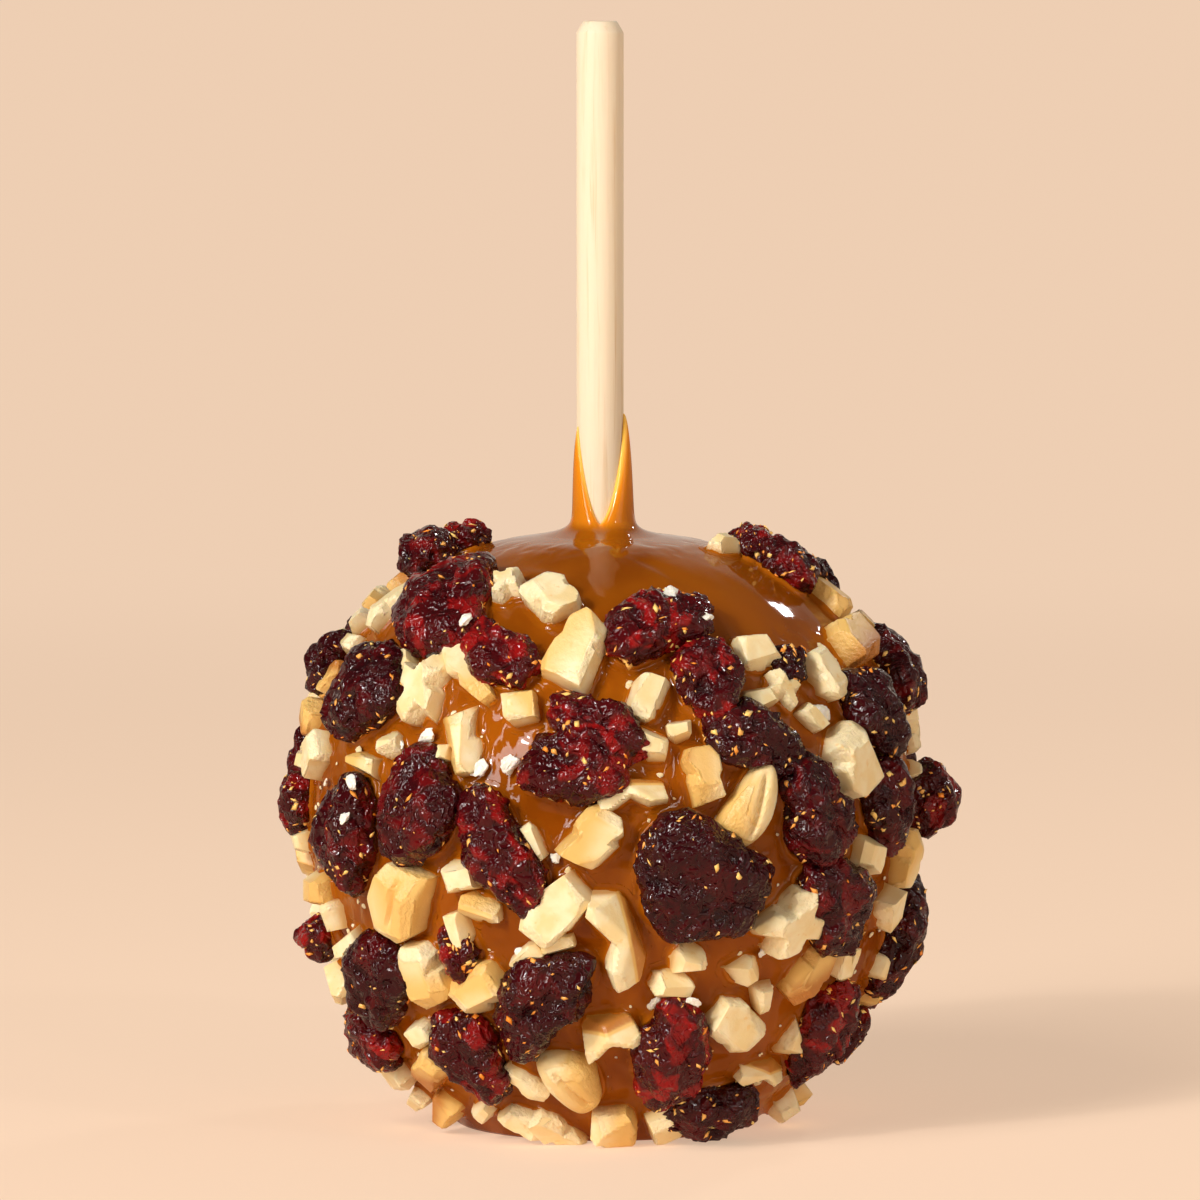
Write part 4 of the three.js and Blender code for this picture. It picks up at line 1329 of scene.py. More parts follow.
@dataclass
class CranberryPatch:
    """All the cranberries, and the bright flecks that stick to them: partly pulp, partly painted
    glints of light through the skin.
    """

    form: AppleForm
    berries: list[Topping]
    finish: CranberryFinish = CranberryFinish()
    flecks_per_berry: int = 50
    fleck_length: tuple[float, float] = (0.4, 1.7)
    fleck_thickness: float = 0.12
    # The share of the berry's quads that the flecks lie on.
    fleck_rows: tuple[float, float] = (0.06, 0.76)

    def build(self) -> list[tuple[str, bpy.types.Object]]:
        """Make every cranberry and the flecks.

        Returns:
            The node that each berry stands for, or an empty name, with the object.
        """
        skin = self.finish.material()
        made = []
        flecks = []
        for order, berry in enumerate(self.berries):
            surface = Cranberry(self.form, berry).surface()
            node = f"cranberry_{order + 1:02d}"
            piece = surface.as_object(f"dried_{node}")
            piece.data.materials.append(skin)
            made.append((node, piece))
            flecks.append(self.flecks(surface, order))
        pulp = Surface.joined(flecks).as_object("pulp_flecks_and_painted_glints")
        pulp.data.materials.append(self.fleck_glint_and_glow_material())
        made.append(("", pulp))
        return made

    def flecks(self, skin: Surface, order: int) -> Surface:
        """Lay small flat flecks on a berry's skin: partly pulp, partly painted glints of light
        through it.

        Args:
            skin: The berry's surface.
            order: The berry's number, which seeds where they lie.

        Returns:
            The flecks, each a flat diamond-shaped ball of eight triangles.
        """
        numbers = order * 61 + np.arange(self.flecks_per_berry)
        chosen = between(self.fleck_rows, chance(numbers, Draw.DENTS)) * len(skin.quads)
        corners = skin.points[skin.quads[chosen.astype(int)]]
        middle = corners.mean(axis=1)
        side = corners[:, 1] - corners[:, 0]
        side /= np.linalg.norm(side, axis=1, keepdims=True)
        outwards = np.cross(corners[:, 1] - corners[:, 0], corners[:, 3] - corners[:, 0])
        outwards /= np.linalg.norm(outwards, axis=1, keepdims=True)
        other = np.cross(outwards, side)
        angle = FULL_TURN * chance(numbers, Draw.TURN)[:, None]
        along = side * np.cos(angle) + other * np.sin(angle)
        across = np.cross(outwards, along)
        length = between(self.fleck_length, chance(numbers, Draw.LENGTH) ** 1.4)[:, None] / 2
        width = length * (0.25 + 0.5 * chance(numbers, Draw.SLIMNESS))[:, None]
        bulge = outwards * self.fleck_thickness
        tips = middle[:, None, :] + np.stack([
            along * length, (across + 0.5 * along) * width, -along * length, -across * width,
            bulge, -bulge,
        ], axis=1)
        faces = np.array([[0, 1, 4], [1, 2, 4], [2, 3, 4], [3, 0, 4],
                          [1, 0, 5], [2, 1, 5], [3, 2, 5], [0, 3, 5]])
        triangles = (np.arange(len(numbers))[:, None, None] * 6 + faces).reshape(-1, 3)
        shade = np.repeat(chance(numbers, Draw.SHADE), 6)
        empty = np.zeros((0, 4), dtype=int)
        return Surface(tips.reshape(-1, 3), empty, triangles, {"shade": shade})

    def fleck_glint_and_glow_material(self) -> bpy.types.Material:
        """Return the flecks' finish, from orange to pale gold, with a faint painted glow."""
        finish = Finish("pulp_fleck_and_painted_glint")
        color = finish.blend(finish.attribute("shade"), (0.88, 0.24, 0.015), (1.0, 0.68, 0.20))
        # Painted glow: the flecks give off a little light of their own.
        finish.surface(Base_Color=color, Roughness=0.25, IOR=1.45,
                       Emission_Color=color, Emission_Strength=0.1)
        return finish.material


# ------------------------------------------------------------------ the nuts


@dataclass(frozen=True)
class NutFinish:
    """Chopped nut: satin cream flesh, golden where roasted, amber at its foot by caramel stain and
    painted shade where it meets the caramel.
    """

    cream: Color = (0.88, 0.68, 0.33)
    ivory: Color = (0.95, 0.83, 0.53)
    white: Color = (0.94, 0.90, 0.79)
    golden: Color = (0.84, 0.53, 0.16)
    brown: Color = (0.52, 0.20, 0.035)
    amber: Color = (0.50, 0.22, 0.03)
    roughness: float = 0.36

    def material(self) -> bpy.types.Material:
        """Build the material.

        Returns:
            The nut's flesh, roasted, and stained and shaded at its foot, by the values that the
            mesh carries, and crumbly and paler where it is freshly broken.
        """
        finish = Finish("chopped_nut")
        roast = finish.attribute("roast")
        broken = finish.attribute("broken")
        mottle = finish.noise(3.4, 3, 0.5, 0.3)
        grit = finish.noise(0.8, 3, 0.65)
        flesh = finish.blend(finish.band(mottle, 0.35, 0.7), self.cream, self.ivory)
        flesh = finish.blend(finish.math("MULTIPLY", broken, 0.6), flesh, self.ivory)
        shifted = finish.math("ADD", roast, finish.math("MULTIPLY", mottle, 0.2))
        color = finish.blend(finish.band(shifted, 0.28, 0.72), flesh, self.golden)
        color = finish.blend(finish.band(shifted, 0.85, 1.25), color, self.brown)
        color = finish.blend(finish.band(roast, -0.1, -0.2), color, self.white)
        pits = finish.math("MULTIPLY", finish.band(finish.noise(1.1, 2, 0.5), 0.36, 0.26), 0.45)
        color = finish.blend(pits, color, self.golden)
        # Caramel stain and painted shade: amber where the nut meets the caramel.
        color = finish.blend(finish.attribute("wet"), color, self.amber)
        crumb = finish.relief(finish.math("MULTIPLY", grit, finish.math("ADD", broken, 0.3)), 0.22)
        finish.surface(
            Base_Color=color, Roughness=self.roughness, IOR=1.45,
            Subsurface_Weight=0.12, Subsurface_Radius=(1.0, 0.55, 0.22), Subsurface_Scale=1.0 * MM,
            Normal=crumb,
        )
        return finish.material


@dataclass
class NutPiece:
    """One broken piece of nut: flat faces, crisp edges, chips and notches."""

    form: AppleForm
    nut: Topping
    stand_least: float = 1.3
    stand_per_width: float = 0.4
    stand_most: float = 4.4
    root: float = 1.6
    tilt: float = 0.22
    small: float = 6.5
    taper: float = 0.25
    wedge_taper: float = 0.7
    corner: float = 0.72
    sharpness: float = 90.0
    half_sharpness: float = 5.0
    chips: int = 8
    cut_lean: float = 0.3
    notched_from: float = 4.6
    notch_lean: float = 0.25
    edge_roast: float = 0.09
    # Caramel stain and painted shade at the foot: its share, and how high it reaches above the
    # caramel.
    stain_and_shade: float = 0.8
    stain_and_shade_height: float = 0.6
    fine_steps: tuple[tuple[float, int], ...] = ((4.5, 10), (6.5, 14), (8.0, 18), (99.0, 22))

    @property
    def is_large(self) -> bool:
        """Whether the piece is long enough for deep cuts and a second notch."""
        return self.nut.length >= self.small

    @property
    def top(self) -> float:
        """How high the piece stands above the caramel."""
        return min(self.stand_least + self.stand_per_width * self.nut.width, self.stand_most)

    @property
    def half(self) -> Array:
        """Half its length, width and height."""
        return np.array([self.nut.length / 2, self.nut.width / 2, (self.top + self.root) / 2])

    def sides(self) -> tuple[Array, Array]:
        """Work out the six leaning sides of the piece in its own frame.

        Returns:
            Unit normals, shape (6, 3), in the order -x, +x, -y, +y, -z, +z, and distances. A
            small piece tapers upwards across its width.
        """
        half = self.half
        lean = self.tilt * (2 * chance(self.nut.number, Draw.TILTS + np.arange(11)) - 1)
        taper = 0.0 if self.is_large else self.taper
        end = 0.0
        if self.nut.form is NutForm.WEDGE:
            taper, end = self.wedge_taper, self.wedge_taper / 2
        normals = np.array([
            (-1, lean[3], lean[4] + end), (1, lean[1], lean[2]),
            (lean[7], -1, lean[8] + taper), (lean[5], 1, lean[6] + taper),
            (0, 0, -1), (lean[9], lean[10], 1),
        ])
        normals = normals / np.linalg.norm(normals, axis=1, keepdims=True)
        return normals, half[[0, 0, 1, 1, 2, 2]]

    def cuts(self) -> tuple[Array, Array]:
        """Work out the planes that take corners and edges off.

        Returns:
            Unit normals and distances: two deep corner cuts on a large piece, or two that
            round the outer side of a curl, and chips off edges and corners of any.
        """
        number = self.nut.number
        side = 1 if chance(number, Draw.BROKEN_SIDE) < 0.5 else -1
        cuts = [(side, 1, 1, self.corner), (-side, -1, 1, self.corner)] if self.is_large else []
        if self.nut.form is NutForm.CURL:
            cuts = [(1, 1, 0.2, 0.74), (-1, 1, 0.2, 0.7)]
        for chip in range(self.chips):
            draws = chance(number + 7 * chip, Draw.DENTS + np.arange(3))
            x, y = np.where(draws[:2] < 0.5, -1.0, 1.0)
            edge = [(x, y, 0.0), (x, 0.0, 1.0), (-x, -y, 0.0), (0.0, y, 1.0)][chip % 4]
            cuts.append((*edge, 0.78 + 0.16 * draws[2]))
        corner = np.array([(x, y, z) for x, y, z, _ in cuts]) * self.half
        numbers = number + np.arange(len(cuts))[:, None]
        lean = self.cut_lean * (chance(numbers, Draw.DENTS + np.arange(3)) - 0.5)
        normals = (np.sign(corner) + lean) / self.half
        normals /= np.linalg.norm(normals, axis=1, keepdims=True)
        depths = np.array([depth for *_, depth in cuts])
        return normals, depths * np.einsum("ij,ij->i", corner, normals)

    def corners(self) -> Array:
        """Return the eight corners where the sides meet, shape (2, 2, 2, 3), by -x/+x first."""
        normals, reaches = self.sides()
        picks = [(x, 2 + y, 4 + z) for x in (0, 1) for y in (0, 1) for z in (0, 1)]
        places = [np.linalg.solve(normals[list(pick)], reaches[list(pick)]) for pick in picks]
        return np.array(places).reshape(2, 2, 2, 3)

    def notches(self) -> list[tuple[float, float, float]]:
        """Return the V-shaped notches: direction, the tip's share of the way out, half opening."""
        if self.nut.form is NutForm.CURL:
            return [(-math.pi / 2, 0.2, 1.05), (-0.6, 0.75, 0.7)]
        if self.nut.form is NutForm.STAR:
            return [(0.1 + math.pi / 2 * side, 0.66 + 0.1 * (side % 2), 0.85) for side in range(4)]
        is_whole = self.nut.form in (NutForm.HALF, NutForm.GROOVED)
        if is_whole or self.nut.length < self.notched_from:
            return []
        order = np.arange(2 if self.is_large else 1)
        numbers = self.nut.number + 13 * order[:, None]
        draws = chance(numbers, Draw.DENTS + 6 + np.arange(3))
        turns = (order - 0.5) * math.pi + 0.9 * (draws[:, 0] - 0.5)
        return list(zip(turns, 0.8 + 0.18 * draws[:, 1], 0.75 + 0.4 * draws[:, 2]))

    def reach(self, facing: Array, level: float = 0.0) -> tuple[Array, Array, Array]:
        """Work out how far the piece reaches in given directions.

        From each plane the reach is (distance - normal z times level) / (normal . facing), and
        the nearest counts, with edges softened by a high power. A notch is where both planes
        of a V are passed, so there the reach is the larger of its two.

        Args:
            facing: Directions, shape (count, 3).
            level: The height that they start from, on the piece's middle line.

        Returns:
            The reaches, 1 where they end on broken flesh and 0 on whole faces, and how near
            an edge they end, from 0 to 1.
        """
        side_normals, side_distances = self.sides()
        cut_normals, cut_distances = self.cuts()
        normals = np.concatenate([side_normals, cut_normals])
        distances = np.concatenate([side_distances, cut_distances]) - normals[:, 2] * level
        power = self.half_sharpness if self.nut.form is NutForm.HALF else self.sharpness
        nearness = np.maximum(facing @ normals.T / distances, 0)
        most = nearness.max(axis=1, keepdims=True)
        reach = 1 / (most[:, 0] * ((nearness / most) ** power).sum(axis=1) ** (1 / power))
        torn = int(4 * chance(self.nut.number, Draw.DENTS + 11))
        hit = nearness.argmax(axis=1)
        edge = smooth_step(0.84, 0.98, np.partition(nearness, -2, axis=1)[:, -2] / most[:, 0])
        broken = np.where((hit == torn) | (hit > 7), 1.0, 0.0)
        for turn, share, opening in self.notches():
            out = np.array([math.cos(turn), math.sin(turn)])
            whole = 1 / np.abs(out / self.half[:2]).max()
            planes = [(math.cos(turn + swing), math.sin(turn + swing), self.notch_lean)
                      for swing in (opening - math.pi / 2, math.pi / 2 - opening)]
            passed = np.min(facing @ np.array(planes).T, axis=1)
            room = share * whole * math.sin(opening) - self.notch_lean * level
            limit = np.where(passed > 1e-6, room / np.maximum(passed, 1e-6), np.inf)
            broken = np.where(limit < reach, 1.0, broken)
            reach = np.minimum(reach, limit)
        return reach, broken, edge

    def outline(self, turn: Array) -> Array:
        """Return how far the piece reaches at the caramel's level, towards each turn."""
        flat = np.stack([np.cos(turn), np.sin(turn), np.zeros_like(turn)], axis=1)
        return self.reach(flat, (self.root - self.top) / 2)[0]

    def steps(self) -> int:
        """Return how fine the piece's grid is: finer for a longer piece."""
        return next(steps for most, steps in self.fine_steps if self.nut.length < most)

    def shape(self) -> tuple[Array, Array, Array, Array]:
        """Work out the piece in its own frame.

        A cube's grid is spread between the corners by trilinear shares, so that its lines
        follow the edges, and each vertex is moved along its own ray to the piece's reach.

        Returns:
            The vertices, shape (count, 3), the quads, and how broken and how near an edge.
        """
        number = self.nut.number
        grid, quads = cube_grid(self.steps(), 0.6)
        share = (1 + grid) / 2
        weights = [np.stack([1 - share[:, axis], share[:, axis]], axis=1) for axis in range(3)]
        places = np.einsum("ni,nj,nk,ijkc->nc", *weights, self.corners())
        facing = places / np.linalg.norm(places, axis=1, keepdims=True)
        reach, broken, edge = self.reach(facing)
        points = facing * reach[:, None]
        if self.nut.form is NutForm.HALF:
            points[:, 1] *= 1 - 0.32 * np.maximum(points[:, 0] / self.half[0], -0.2)
        if self.nut.form in (NutForm.HALF, NutForm.GROOVED):
            inside = smooth_step(0.85, 0.5, np.abs(points[:, 0]) / self.half[0])
            groove = np.exp(-(((points[:, 1] - 0.1 * points[:, 0]) / 0.42) ** 2))
            points[:, 2] -= 0.75 * inside * groove * (grid[:, 2] > 0.3)
        rough = 0.035 * ripple(points, 2.8, number + 200)
        rough -= 0.16 * broken * np.abs(ripple(points, 1.5, number + 300))
        return points + facing * rough[:, None], quads, broken, edge

    def roast(self, points: Array) -> Array:
        """Return how roasted each vertex is: the tone, deeper to one side, or a curl's back."""
        tone = self.nut.tone
        if self.nut.form is NutForm.CURL:
            direction = np.array([0.2, 1.6, -0.2])
            towards = (points / self.half) @ (direction / np.linalg.norm(direction))
            return np.clip(tone.value + 1.2 * smooth_step(0.3, 0.75, towards), 0, 1.1)
        direction = seeded_directions(1, self.nut.number, Draw.SHADE + 3)[0]
        direction[2] = abs(direction[2]) * 0.5
        towards = (points / self.half) @ (direction / np.linalg.norm(direction))
        depth = 0.12 if tone is NutTone.PALE else 0.34
        return np.clip(tone.value + depth * towards, 0, 1.3)

    def surface(self) -> Surface:
        """Build the closed piece where it sits in the caramel."""
        points, quads, broken, edge = self.shape()
        middle = (self.top - self.root) / 2
        nut = self.nut
        placed = self.form.standing(points, nut.azimuth, nut.latitude, nut.turn, middle)
        # Amber near the caramel: partly stain, partly painted shade where the nut meets it.
        above = np.maximum(points[:, 2] + middle - 0.35, 0)
        wet = self.stain_and_shade * np.exp(-((above / self.stain_and_shade_height) ** 1.3))
        roast = self.roast(points) + self.edge_roast * edge * (1 - broken)
        values = {"roast": roast, "wet": wet, "broken": broken}
        return Surface(placed, quads, values=values)


@dataclass
class ChoppedNuts:
    """All the pieces of nut, as one piece for each shade, and the crumbs between them."""

    form: AppleForm
    nuts: list[Topping]
    chips: list[Topping]
    finish: NutFinish = NutFinish()
    # Slivers too fine for a solid of their own: azimuth, latitude, length, width, turn.
    slivers: tuple[tuple[float, ...], ...] = (
        (15, 20, 3, 2.5, 5), (32, 25, 4.5, 3, 10), (44, 21, 4, 2.5, -55),
        (54, -25, 4.5, 3, -75), (35, -31, 4, 2.5, -75), (-67, -18, 4, 3, -80),
        (-28, -17, 4.5, 3, -65), (-14, -22, 4.5, 3, 45), (-8, -19, 4.5, 2.5, 15),
    )
    # White crumbs: azimuth, latitude, length, and the height of what they lie on.
    white_crumbs: tuple[tuple[float, ...], ...] = (
        (-29.5, 37.5, 2.4, 4.6), (-35, 18, 2.5, 0.8), (-23, 13, 2.8, 0.4), (-17, 14, 3.0, 0.4),
        (-48, 8.5, 2.3, 4.3), (-49, 2.5, 1.9, 4.6), (-29, -17.5, 3.0, 0.3), (18, -29, 1.8, 3.0),
        (17.5, 45, 2.6, 3.4), (31, 4, 1.7, 0.4), (-14.5, -22, 3.6, 0.5), (46.5, 22, 3.2, 0.4),
        (11.5, -31, 2.0, 0.3), (-43, 16.5, 2.8, 0.4), (-11, -8.5, 1.7, 0.2), (-8, -3, 1.7, 0.2),
        (20, -1.5, 1.6, 5.0), (33, -22, 1.6, 0.3), (23.5, 39.5, 1.8, 3.6),
    )
    chip_steps: tuple[tuple[float, int], ...] = ((99.0, 6),)
    crisp_from: float = 24.0
    crumbs: int = 420
    crumb_length: tuple[float, float] = (0.5, 1.8)
    crumb_planes: int = 12
    crumb_shape: tuple[float, float, float] = (1.0, 0.75, 0.42)
    crumb_steps: int = 2
    white_steps: int = 8
    raggedness: float = 0.25
    roundness: float = 0.85

    def build(self) -> list[bpy.types.Object]:
        """Make the nuts and the crumbs, and return their objects."""
        flesh = self.finish.material()
        first = len(self.nuts)
        fine = [Topping.in_degrees(first + order, *row) for order, row in enumerate(self.slivers)]
        pale = [nut for nut in self.nuts if nut.tone is NutTone.PALE]
        small = NutPiece.small
        shades = {
            "pale_nuts": [nut for nut in pale if nut.length >= small],
            "pale_chips": [nut for nut in pale if nut.length < small] + fine,
            "honey_nuts": [nut for nut in self.nuts if nut.tone in (NutTone.HONEY, NutTone.TAN)],
            "roasted_nuts": [nut for nut in self.nuts if nut.tone is NutTone.ROASTED],
        }
        surfaces = {name: [NutPiece(self.form, nut).surface() for nut in nuts]
                    for name, nuts in shades.items()}
        surfaces["far_chips"] = [NutPiece(self.form, chip, fine_steps=self.chip_steps).surface()
                                 for chip in self.chips]
        surfaces["nut_crumbs"] = self.crumb_surfaces()
        pieces = []
        for name, parts in surfaces.items():
            piece = Surface.joined(parts).as_object(name)
            piece.data.set_sharp_from_angle(angle=math.radians(self.crisp_from))
            piece.data.materials.append(flesh)
            pieces.append(piece)
        return pieces

    def crumb(self, number: int, azimuth: float, latitude: float, length: float, base: float,
              steps: int) -> Surface:
        """Build one crumb: the inside of seeded planes round a flattened ball.

        Args:
            number: The crumb's number, which seeds its planes.
            azimuth: Where it lies, in radians.
            latitude: Where it lies, in radians.
            length: Its length.
            base: How high what it lies on stands above the caramel.
            steps: How fine its grid is.

        Returns:
            The closed crumb.
        """
        grid, quads = cube_grid(steps, 0.0)
        facing = grid / np.linalg.norm(grid, axis=1, keepdims=True)
        planes = seeded_directions(self.crumb_planes, number, Draw.TILTS)
        depths = 0.6 + 0.4 * chance(number + np.arange(self.crumb_planes), Draw.HEIGHT)
        nearness = np.maximum((facing @ planes.T / depths).max(axis=1), self.roundness)
        white = steps == self.white_steps
        jag = 1 + self.raggedness * ripple(facing, 1.1, number) * white
        size = length / 2 * np.array(self.crumb_shape)
        points = facing * (jag / nearness)[:, None] * size
        turn = FULL_TURN * chance(number, Draw.SLIMNESS)
        placed = self.form.standing(points, azimuth, latitude, turn, base + size[2] * 0.7)
        roast = -0.2 + 0.5 * chance(number, Draw.SHADE) * (not white)
        plain = np.ones(len(points))
        values = {"roast": roast * plain, "wet": 0 * plain, "broken": plain}
        return Surface(placed, quads, values=values)

    def crumb_surfaces(self) -> list[Surface]:
        """Scatter crumbs over the caramel, and lay the white ones where they show.

        Returns:
            One small closed surface for each crumb.
        """
        numbers = 1000 + np.arange(self.crumbs)
        azimuths = FULL_TURN * chance(numbers, Draw.TURN)
        latitudes = np.arcsin(between((-0.8, 0.58), chance(numbers, Draw.ORDER)))
        lengths = between(self.crumb_length, chance(numbers, Draw.LENGTH) ** 2.5)
        made = [self.crumb(int(number), azimuth, latitude, length, 0.1, self.crumb_steps)
                for number, azimuth, latitude, length in zip(numbers, azimuths, latitudes, lengths)]
        for order, (azimuth, latitude, length, base) in enumerate(self.white_crumbs):
            made.append(self.crumb(2000 + order, math.radians(azimuth), math.radians(latitude),
                                   length, base, self.white_steps))
        return made


# ------------------------------------------------------------------ the stick


@dataclass(frozen=True)
class WoodFinish:
    """Bare pale birch: straight fine grain with a few darker streaks."""

    pale: Color = (0.86, 0.72, 0.52)
    streak: Color = (0.74, 0.53, 0.30)
    roughness: float = 0.55
    fibre_depth: float = 0.05

    def material(self) -> bpy.types.Material:
        """Build the material.

        Returns:
            The wood, with noise stretched along the stick for its colour and its grooves.
        """
        finish = Finish("birch")
        grain = finish.noise(0.9, 4, 0.62, 0.3, finish.stretched((1.0, 1.0, 0.035)))
        fibres = finish.noise(0.22, 3, 0.6, 0.0, finish.stretched((1.0, 1.0, 0.02)))
        color = finish.blend(finish.band(grain, 0.5, 0.78), self.pale, self.streak)
        finish.surface(
            Base_Color=color, Roughness=self.roughness, IOR=1.45,
            Subsurface_Weight=0.1, Subsurface_Radius=(1.0, 0.6, 0.3), Subsurface_Scale=0.8 * MM,
            Normal=finish.relief(fibres, self.fibre_depth),
        )
        return finish.material


@dataclass
class Stick:
    """The dowel, with both ends chamfered and softly rounded."""

    radius: float = 3.175
    length: float = 127.0
    top: float = 147.3
    chamfer: float = 0.9
    chamfer_rise: float = 1.5
    softening: float = 0.2
    unevenness: float = 0.025
    body_rows: int = 60
    sides: int = 72
    finish: WoodFinish = WoodFinish()

    @property
    def bottom(self) -> float:
        """The height of the end inside the apple."""
        return self.top - self.length

    def surface(self) -> Surface:
        """Build the dowel as a profile turned about the Z axis, with slightly uneven sides."""
        end = self.radius - self.chamfer
        lowest, highest = self.bottom + self.chamfer_rise, self.top - self.chamfer_rise
        body = np.linspace(lowest, highest - self.softening, self.body_rows)
        profile = np.concatenate([
            [(end * 0.5, self.bottom), (end, self.bottom)],
            np.stack([np.full(self.body_rows, self.radius), body], axis=1),
            [(self.radius - 0.04, highest), (end + 0.12, self.top - 0.22), (end, self.top - 0.06),
             (end - 0.25, self.top), (end * 0.5, self.top)],
        ])
        turn = np.linspace(0, FULL_TURN, self.sides, endpoint=False)
        uneven = self.unevenness * (1 + np.cos(7 * turn + 1.0) * np.cos(3 * turn))
        radius = profile[:, :1] - uneven
        x, y = radius * np.sin(turn), -radius * np.cos(turn)
        z = np.repeat(profile[:, 1:], self.sides, axis=1)
        return Surface(*turned(np.stack([x, y, z], axis=-1), self.bottom, self.top))

    def build(self) -> bpy.types.Object:
        """Make the dowel, dress it and return it."""
        piece = self.surface().as_object("birch_dowel")
        piece.data.materials.append(self.finish.material())
        return piece


# ------------------------------------------------------------------ the studio


@dataclass
class Studio:
    """The pale floor, the light all round, the soft boxes and the camera."""

    camera_place: tuple[float, float, float] = (0.0, -0.950, 0.145)
    camera_aim: tuple[float, float, float] = (0.0, 0.0, 0.070)
    sensor: float = 36.0
    focal: float = 213.5
    peach: Color = (0.855, 0.620, 0.450)
    floor_radius: float = 4.0
    floor_rings: int = 24
    floor_sides: int = 48
    floor_gap: float = 0.02
    floor_lit: Color = (0.56, 0.42, 0.31)
    floor_glow: float = 0.62
    near: float = 0.25
    far: float = 1.0
    room_tint: Color = (1.0, 0.84, 0.70)
    room_front: float = 0.05
    room_right: float = 0.26
    room_back: float = 0.70

    def build(self) -> None:
        """Set up everything that isn't the object."""
        self.build_floor()
        self.build_lights()
        self.build_world()
        self.build_camera()
        bpy.context.scene.view_settings.view_transform = "Standard"
        bpy.context.scene.view_settings.look = "None"

    def build_floor(self) -> None:
        """Make a round sheet of paper that fades into the plain background far away.

        It is a polar grid. Near the apple the paper takes light and shadow, and beyond that
        it glows evenly in the background's colour, so that no edge shows from any side.
        """
        sides = self.floor_sides
        reach = self.floor_radius * np.linspace(0, 1, self.floor_rings + 1)[1:, None] ** 2
        turn = np.linspace(0, FULL_TURN, sides, endpoint=False)[None, :]
        x, y = reach * np.cos(turn), reach * np.sin(turn)
        rows = np.stack([x, y, np.zeros_like(x)], axis=-1)
        first = np.arange(sides)
        middle = np.full(sides, len(rows) * sides)
        fan = np.stack([middle, first, np.roll(first, -1)], axis=1)
        points = np.concatenate([rows.reshape(-1, 3), [[0, 0, 0]]]) / MM
        sheet = Surface(points, grid_quads(len(rows), sides, wrap=True), fan)
        sheet.points[:, 2] -= self.floor_gap
        floor = sheet.as_object("paper_sheet")
        finish = Finish("paper")
        away = finish.add("ShaderNodeVectorMath", {0: finish.place}, operation="LENGTH")
        fade = finish.band(away.outputs["Value"], self.near, self.far)
        glow = tuple(one * self.floor_glow for one in self.peach)
        mirrored = finish.add("ShaderNodeLightPath").outputs["Is Glossy Ray"]
        finish.surface(
            Base_Color=finish.blend(fade, self.floor_lit, (0.0, 0.0, 0.0)), Roughness=0.9,
            Specular_IOR_Level=0.0, Emission_Color=finish.blend(fade, glow, self.peach),
            Emission_Strength=finish.math("SUBTRACT", 1.0, finish.math("MULTIPLY", mirrored, 0.7)),
        )
        floor.data.materials.append(finish.material)

    def hang(self, thing: bpy.types.ID, place: tuple[float, float, float]) -> bpy.types.Object:
        """Hang a light or the camera at a place, facing the apple, and return its object."""
        holder = bpy.data.objects.new(thing.name, thing)
        holder.location = place
        towards = Vector(self.camera_aim) - Vector(place)
        holder.rotation_euler = towards.to_track_quat("-Z", "Y").to_euler()
        bpy.context.scene.collection.objects.link(holder)
        return holder

    def light(self, name: str, place: tuple[float, float, float], size: tuple[float, float],
              radiance: float, color: Color = (1.0, 1.0, 1.0),
              shape: LightShape = LightShape.RECTANGLE) -> None:
        """Add a flat light that faces the apple.

        Args:
            name: Its name.
            place: Where it stands, in metres.
            size: Its width and height, in metres.
            radiance: How bright its face looks, where a sunlit white sheet would be 1.
            color: Its tint.
            shape: The outline of its face.
        """
        lamp = bpy.data.lights.new(name, "AREA")
        lamp.shape = shape.value
        lamp.size, lamp.size_y = size
        lamp.energy = radiance * math.pi * size[0] * size[1]
        lamp.color = color
        self.hang(lamp, place)

    def build_lights(self) -> None:
        """Hang a soft box with a hot core front left, and small lights all round for glints."""
        self.light("key_softbox", (-0.96, -1.06, 0.83), (0.42, 1.3), 11.6, (1.0, 0.97, 0.93))
        self.light("key_core", (-0.93, -1.02, 0.86), (0.13, 0.13), 130.0, (1.0, 0.98, 0.96))
        self.light("fill_right", (1.35, -0.95, 0.55), (0.9, 0.9), 0.9, (1.0, 0.93, 0.86))
        self.light("kicker", (0.403, 0.526, 0.519), (0.08, 0.055), 45.0,
                   shape=LightShape.ELLIPSE)
        self.light("sparkle_right", (0.95, -1.0, 0.85), (0.10, 0.10), 55.0)
        self.light("low_left", (-1.0, -0.9, 0.10), (0.14, 0.14), 32.0, (1.0, 0.88, 0.80))
        self.light("low_right", (0.62, -1.35, 0.30), (0.10, 0.42), 11.0, (1.0, 0.88, 0.80))

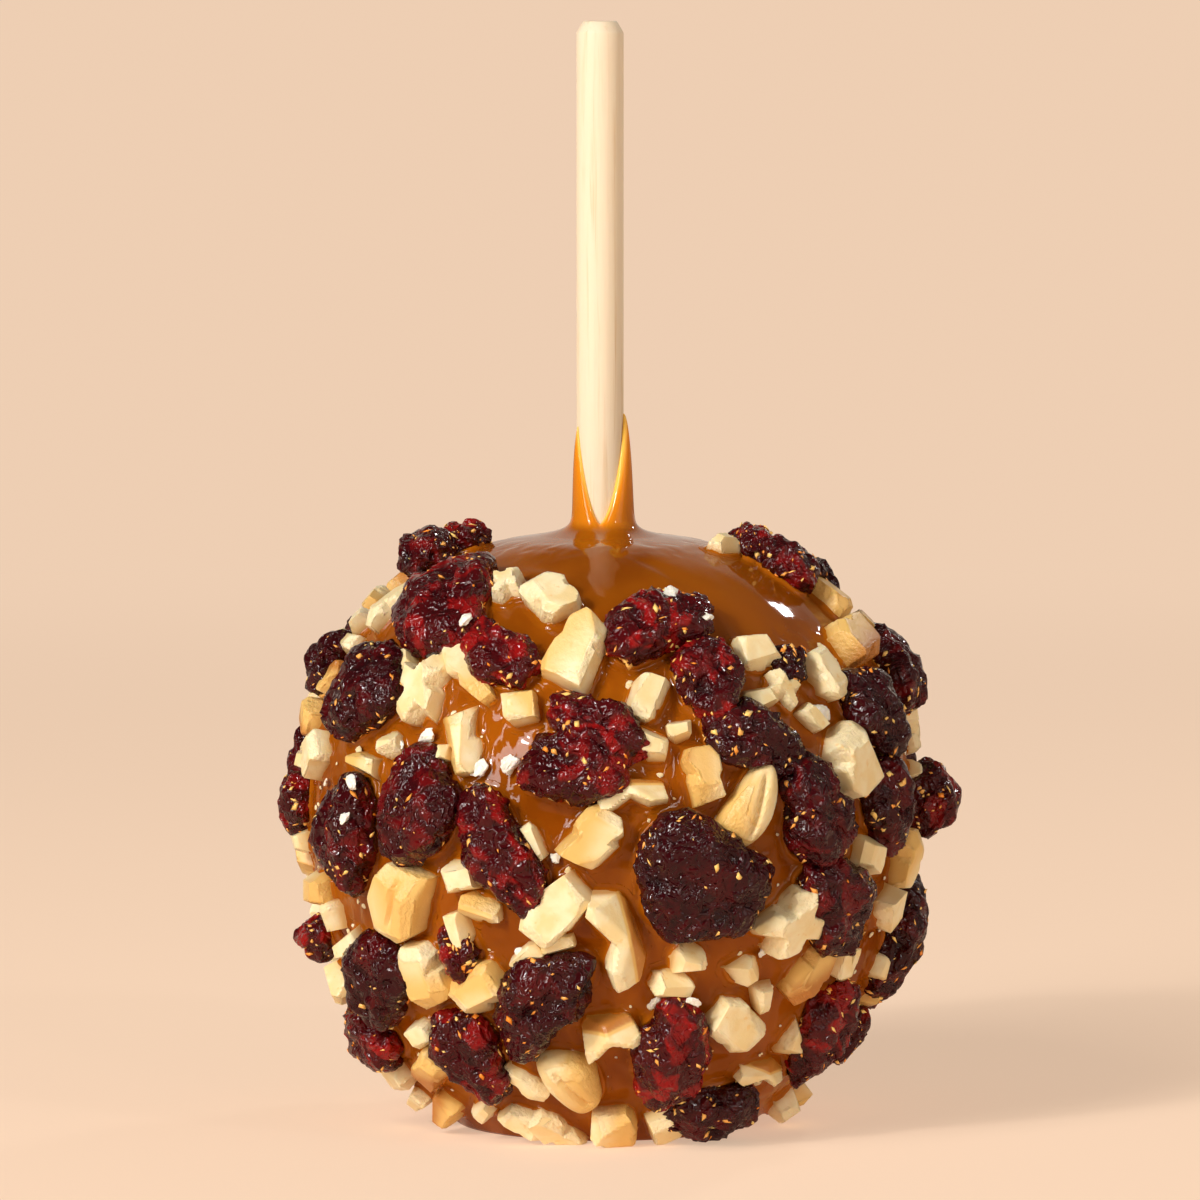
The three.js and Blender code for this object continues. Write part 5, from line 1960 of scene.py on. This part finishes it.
    def build_world(self) -> None:
        """Surround the scene with soft light, dim in front and bright behind.

        The light from a direction is the front's plus shares for how far it points right (x)
        and back (y). The camera itself sees the plain peach background everywhere.
        """
        world = bpy.data.worlds.new("studio")
        bpy.context.scene.world = world
        world.use_nodes = True
        room = Finish.on_tree(world.node_tree)
        direction = room.add("ShaderNodeTexCoord").outputs["Generated"]
        split = room.add("ShaderNodeSeparateXYZ", {0: direction})
        right = room.math("MULTIPLY", room.band(split.outputs["X"], 0.1, 0.9), self.room_right)
        back = room.math("MULTIPLY", room.band(split.outputs["Y"], 0.62, 0.97), self.room_back)
        total = room.math("ADD", room.math("ADD", right, back), self.room_front)
        seen = room.add("ShaderNodeLightPath").outputs["Is Camera Ray"]
        background = world.node_tree.nodes["Background"]
        room.feed(background.inputs["Color"], room.blend(seen, self.room_tint, self.peach))
        strength = room.add("ShaderNodeMix", data_type="FLOAT")
        sockets = [one for one in strength.inputs if one.enabled]
        for socket, value in zip(sockets, (seen, total, 1.0)):
            room.feed(socket, value)
        brightness = next(one for one in strength.outputs if one.enabled)
        room.feed(background.inputs["Strength"], brightness)

    def build_camera(self) -> None:
        """Stand the camera at the photo's angle."""
        lens = bpy.data.cameras.new("camera")
        lens.sensor_width = self.sensor
        lens.sensor_fit = "HORIZONTAL"
        lens.lens = self.focal
        lens.clip_start = 0.01
        bpy.context.scene.camera = self.hang(lens, self.camera_place)


# ------------------------------------------------------------------ the object


def dress(piece: bpy.types.Object, node: str, slot: str) -> None:
    """Let a piece ride with the apple and stand for a node, whose solid is hidden, and log its
    slot.

    Args:
        piece: The piece.
        node: The solid that it stands for, or an empty name.
        slot: The record's material slot.
    """
    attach(piece, BODY)
    if node:
        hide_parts(node)
    log.info("%s: %d faces, slot %s", piece.name, len(piece.data.polygons), slot)


def main() -> None:
    """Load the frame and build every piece."""
    logging.basicConfig(level=logging.INFO, format="%(name)s: %(message)s")
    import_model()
    form = AppleForm()
    layout = ToppingLayout(form)
    cranberries = layout.place_cranberries()
    nuts = layout.place_nuts(cranberries)
    log.info("%d cranberries and %d pieces of nut", len(cranberries), len(nuts))

    stick = Stick()
    dress(stick.build(), "stick", "stick")
    coat = CaramelCoat(form, stick.radius, stick.bottom - STICK_CLEARANCE, nuts, cranberries)
    for piece in coat.build():
        dress(piece, "caramel_apple", "caramel")
    for node, piece in CranberryPatch(form, cranberries).build():
        dress(piece, node, "cranberry")
    chips = layout.place_chips(cranberries + nuts)
    log.info("%d chips of nut between them on the far side", len(chips))
    for piece in ChoppedNuts(form, nuts, chips).build():
        dress(piece, "caramel_apple", "chopped_nut")
    Studio().build()


if __name__ == "__main__":
    main()
